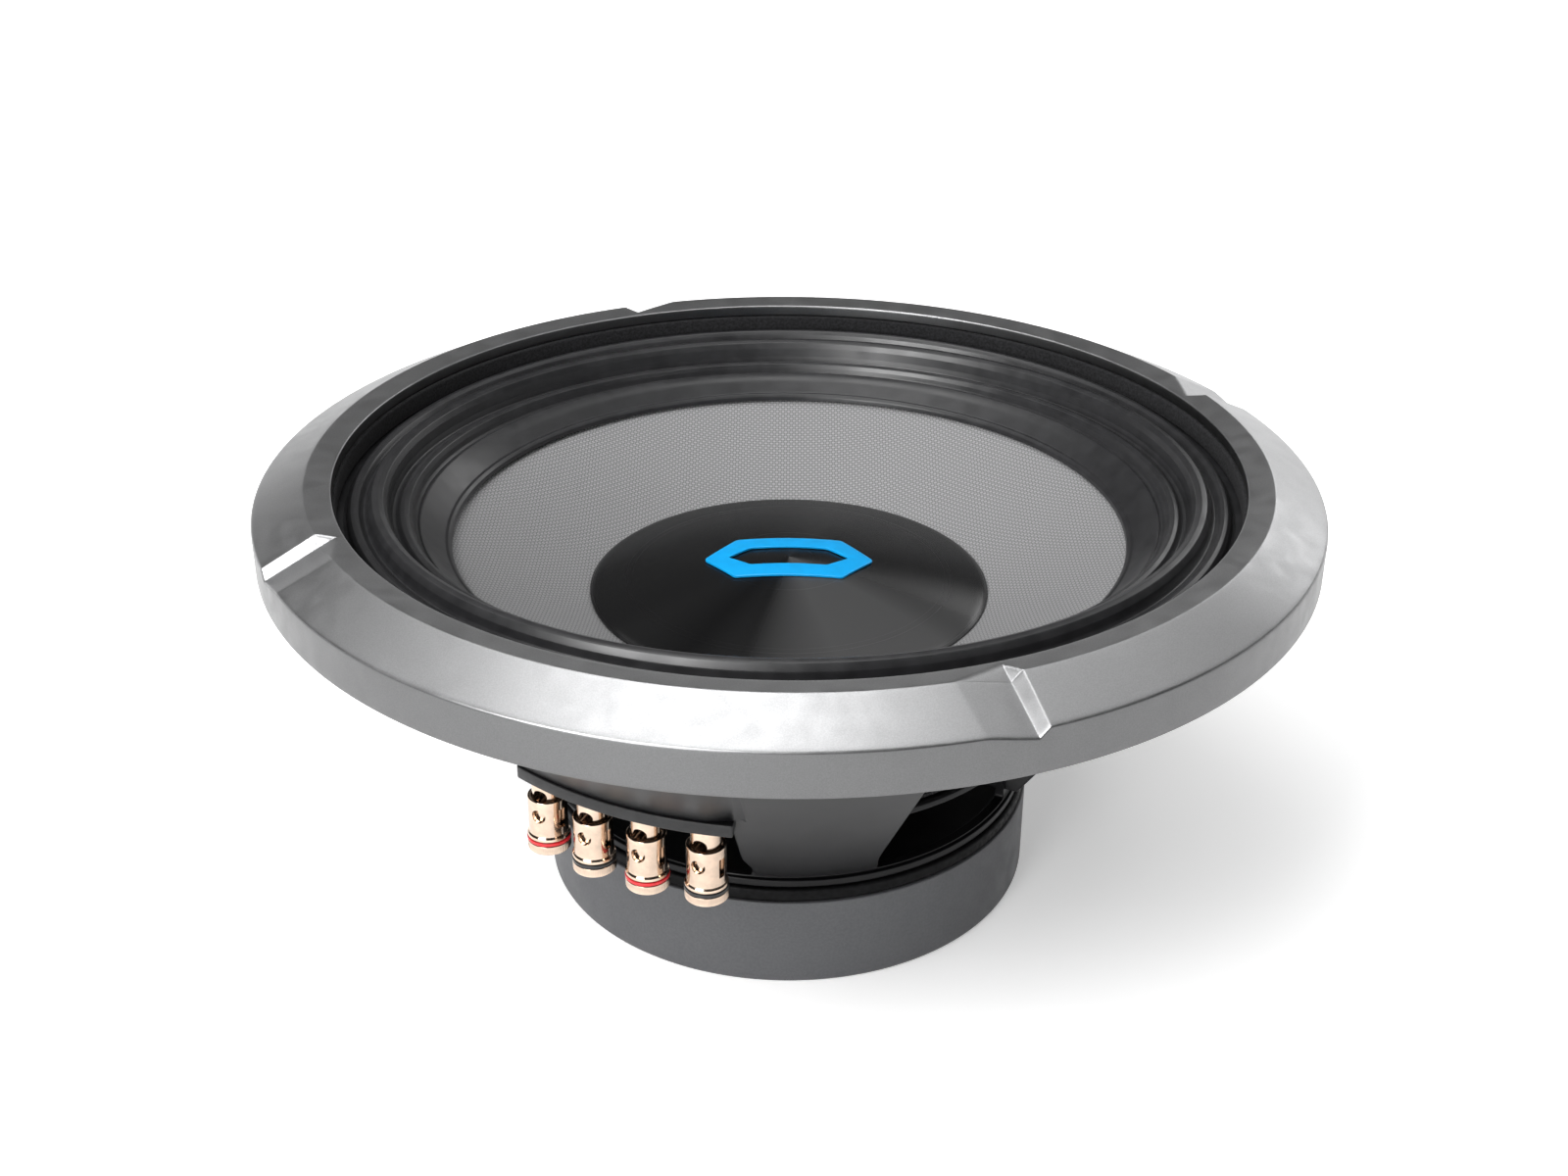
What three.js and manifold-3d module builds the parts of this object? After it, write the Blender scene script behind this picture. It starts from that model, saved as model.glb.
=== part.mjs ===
// A twelve-inch dual-voice-coil car subwoofer, standing on its magnet.
// Millimetres, +Z up. The origin is on the speaker's axis, at the bottom of the magnet boot.
// Azimuths are in degrees, anticlockwise from +X seen from above.
import * as THREE from 'three';
import { mergeVertices } from 'three/addons/utils/BufferGeometryUtils.js';
import Module from 'manifold-3d';

const wasm = await Module();
wasm.setup();

// ---------------------------------------------------------------- driving dimensions
const RING_SEGMENTS = 36;        // facets round a large ring
const COIL_SEGMENTS = 24;        // facets round the coil, the former and the pole
const SMALL_SEGMENTS = 12;       // facets round a terminal or a screw
const GAP = 0.3;                 // clearance between pieces that touch
const SHORTEST_EDGE = 0.02;      // cuts leave shorter edges than this, which are closed up

const TRIM_RADIUS = 163.2;
const TRIM_BOTTOM = 122.1;
const CREASE_HEIGHT = 135.3;     // where the trim ring's side turns into its bevel
const CREST_RADIUS = 147.2;
const CREST_HEIGHT = 142.8;
const TRIM_INNER_RADIUS = 139.3;
const TRIM_INNER_HEIGHT = 141.8;

const NOTCH_AZIMUTHS = [21.5, 113.2, 205.6, 292.2];
const NOTCH_DEPTH = 2.8;
const NOTCH_GENTLE_WIDTH = 4.8;  // degrees from the notch's bottom to the top of its ramp
const NOTCH_STEEP_WIDTH = 1;     // degrees from the notch's bottom to the top of its step

const FLANGE_RADIUS = 159.9;
const FLANGE_BOTTOM = 122.2;
const FLANGE_TOP = 124.8;
const SEAT_TOP = 130;            // ledge that the surround is glued to
const MOUNTING_HOLES = 8;
const MOUNTING_HOLE_CIRCLE = 152.5;
const MOUNTING_HOLE_RADIUS = 2.8;

const BASE_BOTTOM = 34.4;        // underside of the basket, on the top plate
const BASE_TOP = 37;
const BASE_RADIUS = 77.6;
const CUP_RADIUS = 76.4;
const LEDGE_TOP = 60;            // landing for the spider
const ARM_COUNT = 5;
const FIRST_ARM_AZIMUTH = 276.5;
const ARM_HALF_WIDTH = 12;       // degrees
const ARM_FOOT = [80.5, 40.5];     // radius and height of an arm's lower edge
const ARM_HEAD = [137, 116];     // radius and height where an arm meets the flange
const ARM_THICKNESS = 3.4;       // measured along a radius
const RIB_DEPTH = 13;            // depth of an arm's side flanges, measured along a radius

const BASKET_BORE = 29;

const BOOT_RADIUS = 79.3;
const BOOT_HEIGHT = 29.9;
const BOOT_WALL = 1.5;
const BOOT_HOLE_RADIUS = 30;     // the boot is open under the vent
const BACK_PLATE_RADIUS = 76.4;
const BACK_PLATE_BOTTOM = 1.8;
const BACK_PLATE_TOP = 9.5;
const MAGNET_RADIUS = 77.4;
const MAGNET_TOP = 25.7;
const TOP_PLATE_STEP = 30.1;     // the top plate is narrower below this height, inside the boot
const TOP_PLATE_RADIUS = 78.6;
const TOP_PLATE_BORE = 27.5;
const TOP_PLATE_TOP = 34.1;
const POLE_RADIUS = 24.2;
const POLE_TOP = 38.4;
const VENT_RADIUS = 9;
const SCREEN_TOP = 5;            // upper face of the vent's screen

const FORMER_RADIUS = 24.9;      // bore of the coil former
const FORMER_WALL = 0.4;
const FORMER_BOTTOM = 22;
const COIL_BOTTOM = 24;
const COIL_TOP = 44.4;
const COIL_LAYER = 0.5;

const CONE_NECK = [25.7, 77];
const CAP_RIM = [63.3, 96.7];    // where the dust cap meets the cone
const CONE_EDGE = [110.4, 119.2];
const CONE_THICKNESS = 1.1;
const CAP_RISE = 8.9;            // height of the dust cap's crown over its rim

const TERMINAL_COUNT = 4;
const TERMINAL_CIRCLE = 104.4;
const TERMINAL_MIDDLE_AZIMUTH = 242.6;
const TERMINAL_PITCH = 9.9;      // degrees
const WIRE_HOLE_AZIMUTH = 247;   // all four wire holes point the same way
const TERMINAL_BOTTOM = 49.5;
const SLEEVE_TOP = 67.3;
const PRESS_TRAVEL = 6;          // a pressed sleeve lines its hole up with the post's
const WIRE_HOLE_HEIGHT = 68.4;
const PLATE_BOTTOM = 75.8;
const PLATE_TOP = 79.8;
const PLATE_OUTER_RADIUS = 113.2;
const PLATE_START = 223.3;       // azimuths of the plate's two ends
const PLATE_END = 262.45;

// ---------------------------------------------------------------- colours
const FINISHES = {
  silver: { color: 0xa9aaac, roughness: 0.35, metalness: 0.85 },
  blackPaint: { color: 0x131314, roughness: 0.18, metalness: 0.1 },
  rubber: { color: 0x3b3b3d, roughness: 0.55, metalness: 0 },
  bootRubber: { color: 0x5a5b5f, roughness: 0.6, metalness: 0 },
  foam: { color: 0x0d0d0d, roughness: 0.95, metalness: 0 },
  wovenCone: { color: 0xaaaaaa, roughness: 0.7, metalness: 0.1 },
  cap: { color: 0x161616, roughness: 0.3, metalness: 0.4 },
  cyan: { color: 0x18a8e8, roughness: 0.4, metalness: 0 },
  plastic: { color: 0x2b2b2c, roughness: 0.45, metalness: 0 },
  gold: { color: 0xd8b48c, roughness: 0.2, metalness: 1 },
  red: { color: 0xd0202a, roughness: 0.4, metalness: 0 },
  black: { color: 0x101010, roughness: 0.4, metalness: 0 },
  zinc: { color: 0x9a9b98, roughness: 0.35, metalness: 0.9 },
  ferrite: { color: 0x2a2a2c, roughness: 0.8, metalness: 0 },
  aluminium: { color: 0xb8babc, roughness: 0.4, metalness: 0.9 },
  copper: { color: 0xb0603a, roughness: 0.35, metalness: 0.9 },
  cotton: { color: 0xc9a24e, roughness: 0.95, metalness: 0 },
};

const part = new THREE.Group();

// ---------------------------------------------------------------- helpers
const radians = (degrees) => THREE.MathUtils.degToRad(degrees);
const polar = (radius, azimuth, height) => [
  radius * Math.cos(radians(azimuth)), radius * Math.sin(radians(azimuth)), height];

// A three.js geometry as a solid that can be joined and cut.
function solid(geometry) {
  const bare = geometry.clone();
  bare.deleteAttribute('normal');
  bare.deleteAttribute('uv');
  const merged = mergeVertices(bare, 1e-4);
  const corners = merged.index.array;
  const triangles = [];
  for (let i = 0; i < corners.length; i += 3) {
    const [a, b, c] = corners.slice(i, i + 3);
    if (a !== b && b !== c && c !== a) triangles.push(a, b, c);
  }
  const mesh = new wasm.Mesh({
    numProp: 3,
    vertProperties: new Float32Array(merged.attributes.position.array),
    triVerts: new Uint32Array(triangles),
  });
  return new wasm.Manifold(mesh);
}

// A named mesh of a solid, added to the part or to a group.
function piece(name, shape, finish, parent = part) {
  const mesh = shape.simplify(SHORTEST_EDGE).getMesh();
  const geometry = new THREE.BufferGeometry();
  geometry.setAttribute('position', new THREE.BufferAttribute(mesh.vertProperties, 3));
  geometry.setIndex(new THREE.BufferAttribute(mesh.triVerts, 1));
  const faceted = geometry.toNonIndexed();
  faceted.computeVertexNormals();
  const result = new THREE.Mesh(faceted, new THREE.MeshStandardMaterial(FINISHES[finish]));
  result.name = name;
  parent.add(result);
  return result;
}

// A profile of [radius, height] points turned about the vertical axis. It closes on itself.
// lift, where given, raises each point by an amount worked out from its [x, y].
function turned(profile, segments = RING_SEGMENTS, lift = null) {
  const points = profile.map(([radius, height]) => new THREE.Vector2(radius, height));
  if (THREE.ShapeUtils.area(points) < 0) points.reverse();
  points.push(points[0].clone());
  const geometry = new THREE.LatheGeometry(points, segments).rotateX(Math.PI / 2);
  if (lift) {
    const places = geometry.attributes.position;
    for (let i = 0; i < places.count; i += 1) {
      places.setZ(i, places.getZ(i) + lift(places.getX(i), places.getY(i)));
    }
  }
  return solid(geometry);
}

// A ring of rectangular section.
const band = (inner, outer, bottom, top, segments = RING_SEGMENTS) =>
  turned([[inner, bottom], [outer, bottom], [outer, top], [inner, top]], segments);

// An upright cylinder.
function rod(radius, bottom, top, x = 0, y = 0, segments = SMALL_SEGMENTS) {
  const geometry = new THREE.CylinderGeometry(radius, radius, top - bottom, segments).rotateX(Math.PI / 2);
  return solid(geometry.translate(x, y, (bottom + top) / 2));
}

// An outline of [x, y] points drawn upwards from bottom to top.
function prism(outline, bottom, top) {
  const shape = new THREE.Shape(outline.map(([x, y]) => new THREE.Vector2(x, y)));
  const geometry = new THREE.ExtrudeGeometry(shape, { depth: top - bottom, bevelEnabled: false });
  return solid(geometry.translate(0, 0, bottom));
}

// The outline of a sector of a ring, with the given number of chords on each arc.
function sector(inner, outer, from, to, chords = 8) {
  const outline = [];
  for (let i = 0; i <= chords; i += 1) {
    const azimuth = from + (to - from) * i / chords;
    outline.push(polar(outer, azimuth, 0).slice(0, 2));
  }
  for (let i = chords; i >= 0; i -= 1) {
    const azimuth = from + (to - from) * i / chords;
    outline.push(polar(inner, azimuth, 0).slice(0, 2));
  }
  return outline;
}

// A thin sheet of revolution: the line of its upper face, and its thickness below that.
function sheet(upper, thickness, segments = RING_SEGMENTS) {
  const lower = upper.map(([radius, height], i) => {
    const [r0, h0] = upper[Math.max(i - 1, 0)];
    const [r1, h1] = upper[Math.min(i + 1, upper.length - 1)];
    const length = Math.hypot(r1 - r0, h1 - h0);
    const side = radius > 0 ? Math.sign(r1 - r0) : 0;
    const drop = thickness * Math.abs(r1 - r0) / length;
    return [radius + side * thickness * (h1 - h0) / length, height - drop];
  });
  return turned([...upper, ...lower.reverse()], segments);
}

const along = ([r0, h0], [r1, h1], fraction) => [r0 + (r1 - r0) * fraction, h0 + (h1 - h0) * fraction];

// ---------------------------------------------------------------- trim ring
// The V-shaped bite of one notch. Its bottom is a straight line that rises inwards and runs out
// at the ring's inner edge. steepSide is +1 where the step is anticlockwise of the bottom.
function notch(azimuth, steepSide) {
  const runOutRadius = TRIM_INNER_RADIUS + 3.5;
  const rise = TRIM_INNER_HEIGHT - CREASE_HEIGHT + NOTCH_DEPTH;
  const slope = rise / (TRIM_RADIUS - runOutRadius);
  const bottomLine = (radius) => CREASE_HEIGHT - NOTCH_DEPTH + slope * (TRIM_RADIUS - radius);
  const outerEnd = TRIM_RADIUS + 8;
  const innerEnd = TRIM_INNER_RADIUS + 1;
  const outer = new THREE.Vector3(...polar(outerEnd, azimuth, bottomLine(outerEnd)));
  const inner = new THREE.Vector3(...polar(innerEnd, azimuth, bottomLine(innerEnd)));
  const atCrease = new THREE.Vector3(...polar(TRIM_RADIUS, azimuth, bottomLine(TRIM_RADIUS)));
  const reach = 4;               // how far past the bevel the bite's sides go on
  const side = (turn) => new THREE.Vector3(...polar(TRIM_RADIUS, azimuth + turn, CREASE_HEIGHT))
    .sub(atCrease).multiplyScalar(reach);
  const left = side(steepSide > 0 ? NOTCH_STEEP_WIDTH : NOTCH_GENTLE_WIDTH);
  const right = side(steepSide > 0 ? -NOTCH_GENTLE_WIDTH : -NOTCH_STEEP_WIDTH);
  const corners = [outer, outer.clone().add(left), outer.clone().add(right),
    inner, inner.clone().add(left), inner.clone().add(right)];
  const faces = [0, 1, 2, 3, 5, 4, 0, 4, 1, 0, 3, 4, 0, 5, 3, 0, 2, 5, 1, 5, 2, 1, 4, 5];
  const places = corners.flatMap((corner) => corner.toArray());
  const geometry = new THREE.BufferGeometry();
  geometry.setAttribute('position', new THREE.Float32BufferAttribute(places, 3));
  geometry.setIndex(faces);
  return solid(geometry);
}

const lipBottom = SEAT_TOP + 8.2;
const lipRoot = TRIM_INNER_RADIUS + 4.2;
let trimRing = turned([
  [TRIM_RADIUS, TRIM_BOTTOM], [TRIM_RADIUS, CREASE_HEIGHT], [CREST_RADIUS, CREST_HEIGHT],
  [TRIM_INNER_RADIUS, TRIM_INNER_HEIGHT], [TRIM_INNER_RADIUS, lipBottom], [lipRoot, lipBottom],
  [lipRoot, SEAT_TOP + 4.8], [FLANGE_RADIUS - 1.5, FLANGE_TOP + 3.6],
  [FLANGE_RADIUS + GAP, FLANGE_TOP + 2.4], [FLANGE_RADIUS + GAP, TRIM_BOTTOM],
]);
NOTCH_AZIMUTHS.forEach((azimuth, i) => {
  trimRing = trimRing.subtract(notch(azimuth, i % 2 ? 1 : -1));
});
piece('trim_ring', trimRing, 'silver');

// ---------------------------------------------------------------- basket
const armSlope = (ARM_HEAD[1] - ARM_FOOT[1]) / (ARM_HEAD[0] - ARM_FOOT[0]);
const armRadiusAt = (height) => ARM_FOOT[0] + (height - ARM_FOOT[1]) / armSlope;
const armAzimuths = Array.from({ length: ARM_COUNT }, (_, i) => FIRST_ARM_AZIMUTH + i * 360 / ARM_COUNT);

// The cone-shaped shell that the arms are cut from, as deep inwards as asked.
const armShell = (depth) => turned([
  ARM_FOOT, ARM_HEAD, [ARM_HEAD[0] - depth, ARM_HEAD[1]], [ARM_FOOT[0] - depth, ARM_FOOT[1]],
]).rotate([0, 0, 3]);

function arm(azimuth) {
  const ribWidth = 2.6;          // degrees
  const far = TRIM_RADIUS;
  const low = ARM_FOOT[1] - 1;
  const high = ARM_HEAD[1] + 1;
  const start = azimuth - ARM_HALF_WIDTH;
  const end = azimuth + ARM_HALF_WIDTH;
  const panel = armShell(ARM_THICKNESS).intersect(prism(sector(20, far, start, end), low, high));
  const ribs = [[start, start + ribWidth], [end - ribWidth, end]].map(([from, to]) =>
    armShell(RIB_DEPTH).intersect(prism(sector(20, far, from, to, 1), low, high)));
  const foot = prism(sector(CUP_RADIUS - 2, ARM_FOOT[0], start, end, 4), BASE_TOP + 1.6, ARM_FOOT[1] + 0.5);
  return panel.add(ribs[0]).add(ribs[1]).add(foot);
}

let basket = band(BASKET_BORE, BASE_RADIUS, BASE_BOTTOM, BASE_TOP)
  .add(band(CUP_RADIUS - 2.8, CUP_RADIUS, BASE_TOP - 0.5, LEDGE_TOP - 1))
  .add(band(CUP_RADIUS - 4.9, CUP_RADIUS + 4.8, LEDGE_TOP - 2.4, LEDGE_TOP));
const halfGap = 180 / ARM_COUNT;   // degrees from an arm's middle to the middle of the next window
const windowHalfWidth = halfGap - ARM_HALF_WIDTH - 2;
for (const azimuth of armAzimuths) {
  const start = azimuth + halfGap - windowHalfWidth;
  const lowWindow = sector(CUP_RADIUS - 6, CUP_RADIUS + 3, start, start + 2 * windowHalfWidth, 6);
  basket = basket.subtract(prism(lowWindow, BASE_TOP + 0.6, LEDGE_TOP - 3.4));
}
for (const azimuth of armAzimuths) basket = basket.add(arm(azimuth));
// The arm beside the terminals reaches further towards them above the terminal plate.
const SIDE_REACH = 3;              // degrees
const reachStart = FIRST_ARM_AZIMUTH - ARM_HALF_WIDTH - SIDE_REACH;
const sideReach = sector(20, TRIM_RADIUS, reachStart, FIRST_ARM_AZIMUTH, 4);
basket = basket.add(armShell(ARM_THICKNESS).intersect(prism(sideReach, PLATE_TOP + GAP, ARM_HEAD[1] + 1)));
// The ring that joins the arms' heads, the flange and the surround's seat.
const SEAT_BORE = 131.6;
const SHEET_METAL = 2.6;
const innerWall = 137.4;
basket = basket.add(turned([
  [ARM_HEAD[0] - 5.5, 108], [armRadiusAt(108) + 0.4, 108], ARM_HEAD, [140, FLANGE_BOTTOM],
  [FLANGE_RADIUS, FLANGE_BOTTOM], [FLANGE_RADIUS, FLANGE_TOP], [144.6, FLANGE_TOP],
  [142.9, SEAT_TOP], [SEAT_BORE, SEAT_TOP], [SEAT_BORE, SEAT_TOP - SHEET_METAL],
  [innerWall, SEAT_TOP - SHEET_METAL], [innerWall, FLANGE_BOTTOM],
  [ARM_HEAD[0] - ARM_THICKNESS, ARM_HEAD[1]],
]));
for (let i = 0; i < MOUNTING_HOLES; i += 1) {
  const [x, y] = polar(MOUNTING_HOLE_CIRCLE, i * 360 / MOUNTING_HOLES, 0);
  basket = basket.subtract(rod(MOUNTING_HOLE_RADIUS, FLANGE_BOTTOM - 2, FLANGE_TOP + 2, x, y, 8));
}

// The bridge between two arms that carries the terminal plate.
const SCREW_CIRCLE = 94.5;
const BRIDGE_AZIMUTHS = [214, 267];
const BRIDGE_DEPTH = 3.5;
const bridgeTop = PLATE_BOTTOM - GAP;
const plateScrewAzimuths = [-TERMINAL_PITCH, TERMINAL_PITCH].map((turn) => TERMINAL_MIDDLE_AZIMUTH + turn);
basket = basket.add(prism(sector(90, 97.8, ...BRIDGE_AZIMUTHS, 6), bridgeTop - BRIDGE_DEPTH, bridgeTop));
for (const azimuth of plateScrewAzimuths) {
  const [x, y] = polar(SCREW_CIRCLE, azimuth, 0);
  basket = basket.subtract(rod(2, PLATE_BOTTOM - 10, PLATE_BOTTOM + 1, x, y, 8));
}

// The wall between the same two arms that shields the lugs, from the plate up to the arms' heads.
const WALL_THICKNESS = 3;
const wallFoot = [PLATE_OUTER_RADIUS - 0.5, PLATE_TOP + GAP];
const wallHead = [armRadiusAt(109) + 1.2, 109];
const wall = turned([
  wallFoot, wallHead,
  [wallHead[0] - WALL_THICKNESS, wallHead[1]],
  [wallFoot[0] - WALL_THICKNESS, wallFoot[1]],
]).rotate([0, 0, 2]);
const wallSector = prism(sector(20, TRIM_RADIUS, ...BRIDGE_AZIMUTHS), PLATE_TOP, wallHead[1] + 1);
basket = basket.add(wall.intersect(wallSector));

// Screws that hold the basket down on the top plate, between the arms.
const BASE_SCREW_CIRCLE = 52;
const BASE_SCREW_HOLE = 2.9;
const baseScrewPlaces = armAzimuths.map((azimuth) => polar(BASE_SCREW_CIRCLE, azimuth + halfGap, 0));
for (const [x, y] of baseScrewPlaces) {
  basket = basket.subtract(rod(BASE_SCREW_HOLE, BASE_BOTTOM - 1, BASE_TOP + 1, x, y, 8));
}
piece('basket', basket, 'blackPaint');

// A pan-head screw standing on a surface, its shank going down from there.
function screw(name, [x, y], surface, headRadius, headHeight, shankRadius, shankLength) {
  const top = surface + headHeight;
  const profile = [
    [0, surface - shankLength], [shankRadius, surface - shankLength], [shankRadius, surface],
    [headRadius, surface], [headRadius, surface + headHeight * 0.55], [headRadius * 0.6, top], [0, top],
  ];
  const slotWidth = headRadius * 0.3;
  const cross = [[headRadius * 0.62, slotWidth], [slotWidth, headRadius * 0.62]].map(([a, b]) =>
    prism([[-a, -b], [a, -b], [a, b], [-a, b]], surface + headHeight * 0.4, top + 1));
  const shape = turned(profile, 8).subtract(cross[0]).subtract(cross[1]);
  piece(name, shape.translate([x, y, 0]), 'zinc');
}
baseScrewPlaces.forEach((place, i) => {
  screw(`basket_screw_${i + 1}`, place, BASE_TOP + GAP, 4.4, 2.6, 2.5, 8);
});

// ---------------------------------------------------------------- motor
const bootInner = BOOT_RADIUS - BOOT_WALL;
const boot = turned([
  [BOOT_HOLE_RADIUS, 0], [BOOT_RADIUS - 2, 0], [BOOT_RADIUS - 0.6, 0.6], [BOOT_RADIUS, 2],
  [BOOT_RADIUS, BOOT_HEIGHT], [bootInner, BOOT_HEIGHT], [bootInner, BOOT_WALL],
  [BOOT_HOLE_RADIUS, BOOT_WALL],
]);
piece('magnet_boot', boot, 'bootRubber');

const screenSeat = VENT_RADIUS + 3.4;
const yoke = turned([
  [screenSeat, BACK_PLATE_BOTTOM], [BACK_PLATE_RADIUS, BACK_PLATE_BOTTOM],
  [BACK_PLATE_RADIUS, BACK_PLATE_TOP],
  [POLE_RADIUS, BACK_PLATE_TOP], [POLE_RADIUS, POLE_TOP - 1], [POLE_RADIUS - 1, POLE_TOP],
  [VENT_RADIUS + 1.5, POLE_TOP], [VENT_RADIUS, POLE_TOP - 3], [VENT_RADIUS, SCREEN_TOP + GAP],
  [screenSeat, SCREEN_TOP + GAP],
], COIL_SEGMENTS);
piece('back_plate_and_pole', yoke, 'zinc');
piece('ferrite_magnet', band(40, MAGNET_RADIUS, BACK_PLATE_TOP + GAP, MAGNET_TOP), 'ferrite');
piece('shorting_ring', band(29.5, 39.3, BACK_PLATE_TOP + GAP, 18, COIL_SEGMENTS), 'aluminium');

let topPlate = turned([
  [TOP_PLATE_BORE, MAGNET_TOP + GAP], [MAGNET_RADIUS, MAGNET_TOP + GAP],
  [MAGNET_RADIUS, TOP_PLATE_STEP], [TOP_PLATE_RADIUS, TOP_PLATE_STEP],
  [TOP_PLATE_RADIUS, TOP_PLATE_TOP - 1.2], [TOP_PLATE_RADIUS - 0.8, TOP_PLATE_TOP],
  [TOP_PLATE_BORE, TOP_PLATE_TOP],
]);
for (const [x, y] of baseScrewPlaces) {
  topPlate = topPlate.subtract(rod(BASE_SCREW_HOLE, MAGNET_TOP - 1, TOP_PLATE_TOP + 1, x, y, 8));
}
piece('top_plate', topPlate, 'blackPaint');

// A perforated disc in the vent's mouth: one hole in the middle and a ring of holes.
let ventScreen = rod(screenSeat - GAP, SCREEN_TOP - 0.9, SCREEN_TOP, 0, 0, COIL_SEGMENTS);
const screenHoles = [[0, 1], [6.6, 8]];   // radius of each ring of holes, and how many it has
for (const [radius, count] of screenHoles) {
  for (let i = 0; i < count; i += 1) {
    const [x, y] = polar(radius, i * 360 / count, 0);
    ventScreen = ventScreen.subtract(rod(1.8, SCREEN_TOP - 2, SCREEN_TOP + 1, x, y, 8));
  }
}
piece('vent_screen', ventScreen, 'black');

// ---------------------------------------------------------------- voice coil and suspension
const formerOuter = FORMER_RADIUS + FORMER_WALL;
const layerInner = formerOuter + GAP;
const layerOuter = layerInner + COIL_LAYER + GAP;
const coilLayer = (inner) => band(inner, inner + COIL_LAYER, COIL_BOTTOM, COIL_TOP, COIL_SEGMENTS);
const former = band(FORMER_RADIUS, formerOuter, FORMER_BOTTOM, CONE_NECK[1] + 2, COIL_SEGMENTS);
piece('coil_former', former, 'aluminium');
piece('voice_coil_1', coilLayer(layerInner), 'copper');
piece('voice_coil_2', coilLayer(layerOuter), 'copper');

// The spider: a flat landing, then corrugations down to the former.
const SPIDER_MIDDLE = LEDGE_TOP + GAP + 1;
const spiderLine = [[CUP_RADIUS + 2.6, SPIDER_MIDDLE], [CUP_RADIUS - 6, SPIDER_MIDDLE]];
const CORRUGATIONS = 4;
const corrugationStart = 66.5;
const corrugationEnd = 30;
for (let i = 0; i <= CORRUGATIONS * 2; i += 1) {
  const radius = corrugationStart + (corrugationEnd - corrugationStart) * i / (CORRUGATIONS * 2);
  spiderLine.push([radius, SPIDER_MIDDLE + (i % 2 ? 2 : -2)]);
}
spiderLine.push([25.7, SPIDER_MIDDLE]);
piece('spider', sheet(spiderLine, 0.8, COIL_SEGMENTS), 'cotton');
piece('spider_collar', turned([
  [layerInner, SPIDER_MIDDLE + GAP], [29, SPIDER_MIDDLE + GAP], [layerInner + 0.8, SPIDER_MIDDLE + 4.5],
  [layerInner, SPIDER_MIDDLE + 4.5],
], COIL_SEGMENTS), 'black');

const coneLine = [CONE_NECK, [44, 87.3], CAP_RIM, along(CAP_RIM, CONE_EDGE, 0.5), CONE_EDGE];
piece('cone', sheet(coneLine, CONE_THICKNESS), 'wovenCone');

// The dust cap's crown, rising evenly from the rim and rounding over at the middle.
const crownHeight = (radius) => CAP_RIM[1] + GAP + 1 + CAP_RISE * (1 - (radius / CAP_RIM[0]) ** 1.6);
const crownLine = (lift, limit) => [0, 12, 24, 34, 50, CAP_RIM[0]]
  .filter((radius) => radius <= limit).map((radius) => [radius, crownHeight(radius) + lift]);
piece('dust_cap', sheet(crownLine(0, CAP_RIM[0]), 1), 'cap');

// A plain badge on the crown: a long six-sided frame, bent to the crown.
const badgeOutline = (length, width) => [
  [-length / 2, 0], [-length / 3.2, -width / 2], [length / 3.2, -width / 2],
  [length / 2, 0], [length / 3.2, width / 2], [-length / 3.2, width / 2]];
const BADGE_LENGTH = 54;
const BADGE_WIDTH = 26;
const BADGE_BORDER = 7;
const badgeSheet = sheet(crownLine(1, 34), 0.7);
const badgeBlank = prism(badgeOutline(BADGE_LENGTH, BADGE_WIDTH), 90, 120);
const badgeOpening = badgeOutline(BADGE_LENGTH - 2.2 * BADGE_BORDER, BADGE_WIDTH - 2 * BADGE_BORDER);
const badgeHole = prism(badgeOpening, 90, 120);
piece('badge', badgeSheet.intersect(badgeBlank.subtract(badgeHole)), 'cyan');

// The surround, from its outer edge on the basket's seat, over its three ridges, to the cone's
// edge, and back along its underside. Its ridges lean: they stand highest on the -Y side.
const SURROUND_LEAN = 3.4;
const smooth = THREE.MathUtils.smoothstep;
const surroundLift = (x, y) => {
  const radius = Math.hypot(x, y);
  const share = smooth(radius, 110, 118) * (1 - smooth(radius, 127, 135));
  return -SURROUND_LEAN * share * y / radius;
};
piece('surround', turned([
  [141, SEAT_TOP + 1.3], [136, SEAT_TOP + 1.3], [134.8, 134.3], [132.6, 134.9], [130.3, 132.7],
  [128.8, 135.6], [126, 136.9], [123.8, 135.2], [121.6, 129.4], [118.4, 131.2], [115.2, 126.6],
  [113.9, 126.9], [105.2, 118.2],
  [105.9, 117.8], [114.9, 125.1], [118.3, 130], [121.4, 128.3], [124.2, 134], [126.1, 135.7],
  [128.2, 134.2], [130.3, 131.5], [132.6, 133.6], [134, 132.6], [134.6, SEAT_TOP + 0.4],
  [141, SEAT_TOP + 0.4],
], RING_SEGMENTS, surroundLift), 'rubber');
piece('mounting_gasket', band(138.4, 142.4, SEAT_TOP + 1.3 + GAP, SEAT_TOP + 7.9), 'foam');

// ---------------------------------------------------------------- terminal plate
const plateOutline = sector(91, PLATE_OUTER_RADIUS, PLATE_START, PLATE_END, 12);
plateOutline[0] = polar(105.5, PLATE_START, 0).slice(0, 2);
plateOutline[12] = polar(PLATE_OUTER_RADIUS - 1.6, PLATE_END - 0.55, 0).slice(0, 2);
let terminalPlate = prism(plateOutline, PLATE_BOTTOM, PLATE_TOP);
const terminalAzimuths = Array.from({ length: TERMINAL_COUNT }, (_, i) =>
  TERMINAL_MIDDLE_AZIMUTH + (i - (TERMINAL_COUNT - 1) / 2) * TERMINAL_PITCH);
for (const azimuth of terminalAzimuths) {
  const [x, y] = polar(TERMINAL_CIRCLE, azimuth, 0);
  terminalPlate = terminalPlate.subtract(rod(3, PLATE_BOTTOM - 1, PLATE_TOP + 1, x, y, 8));
}
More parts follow.
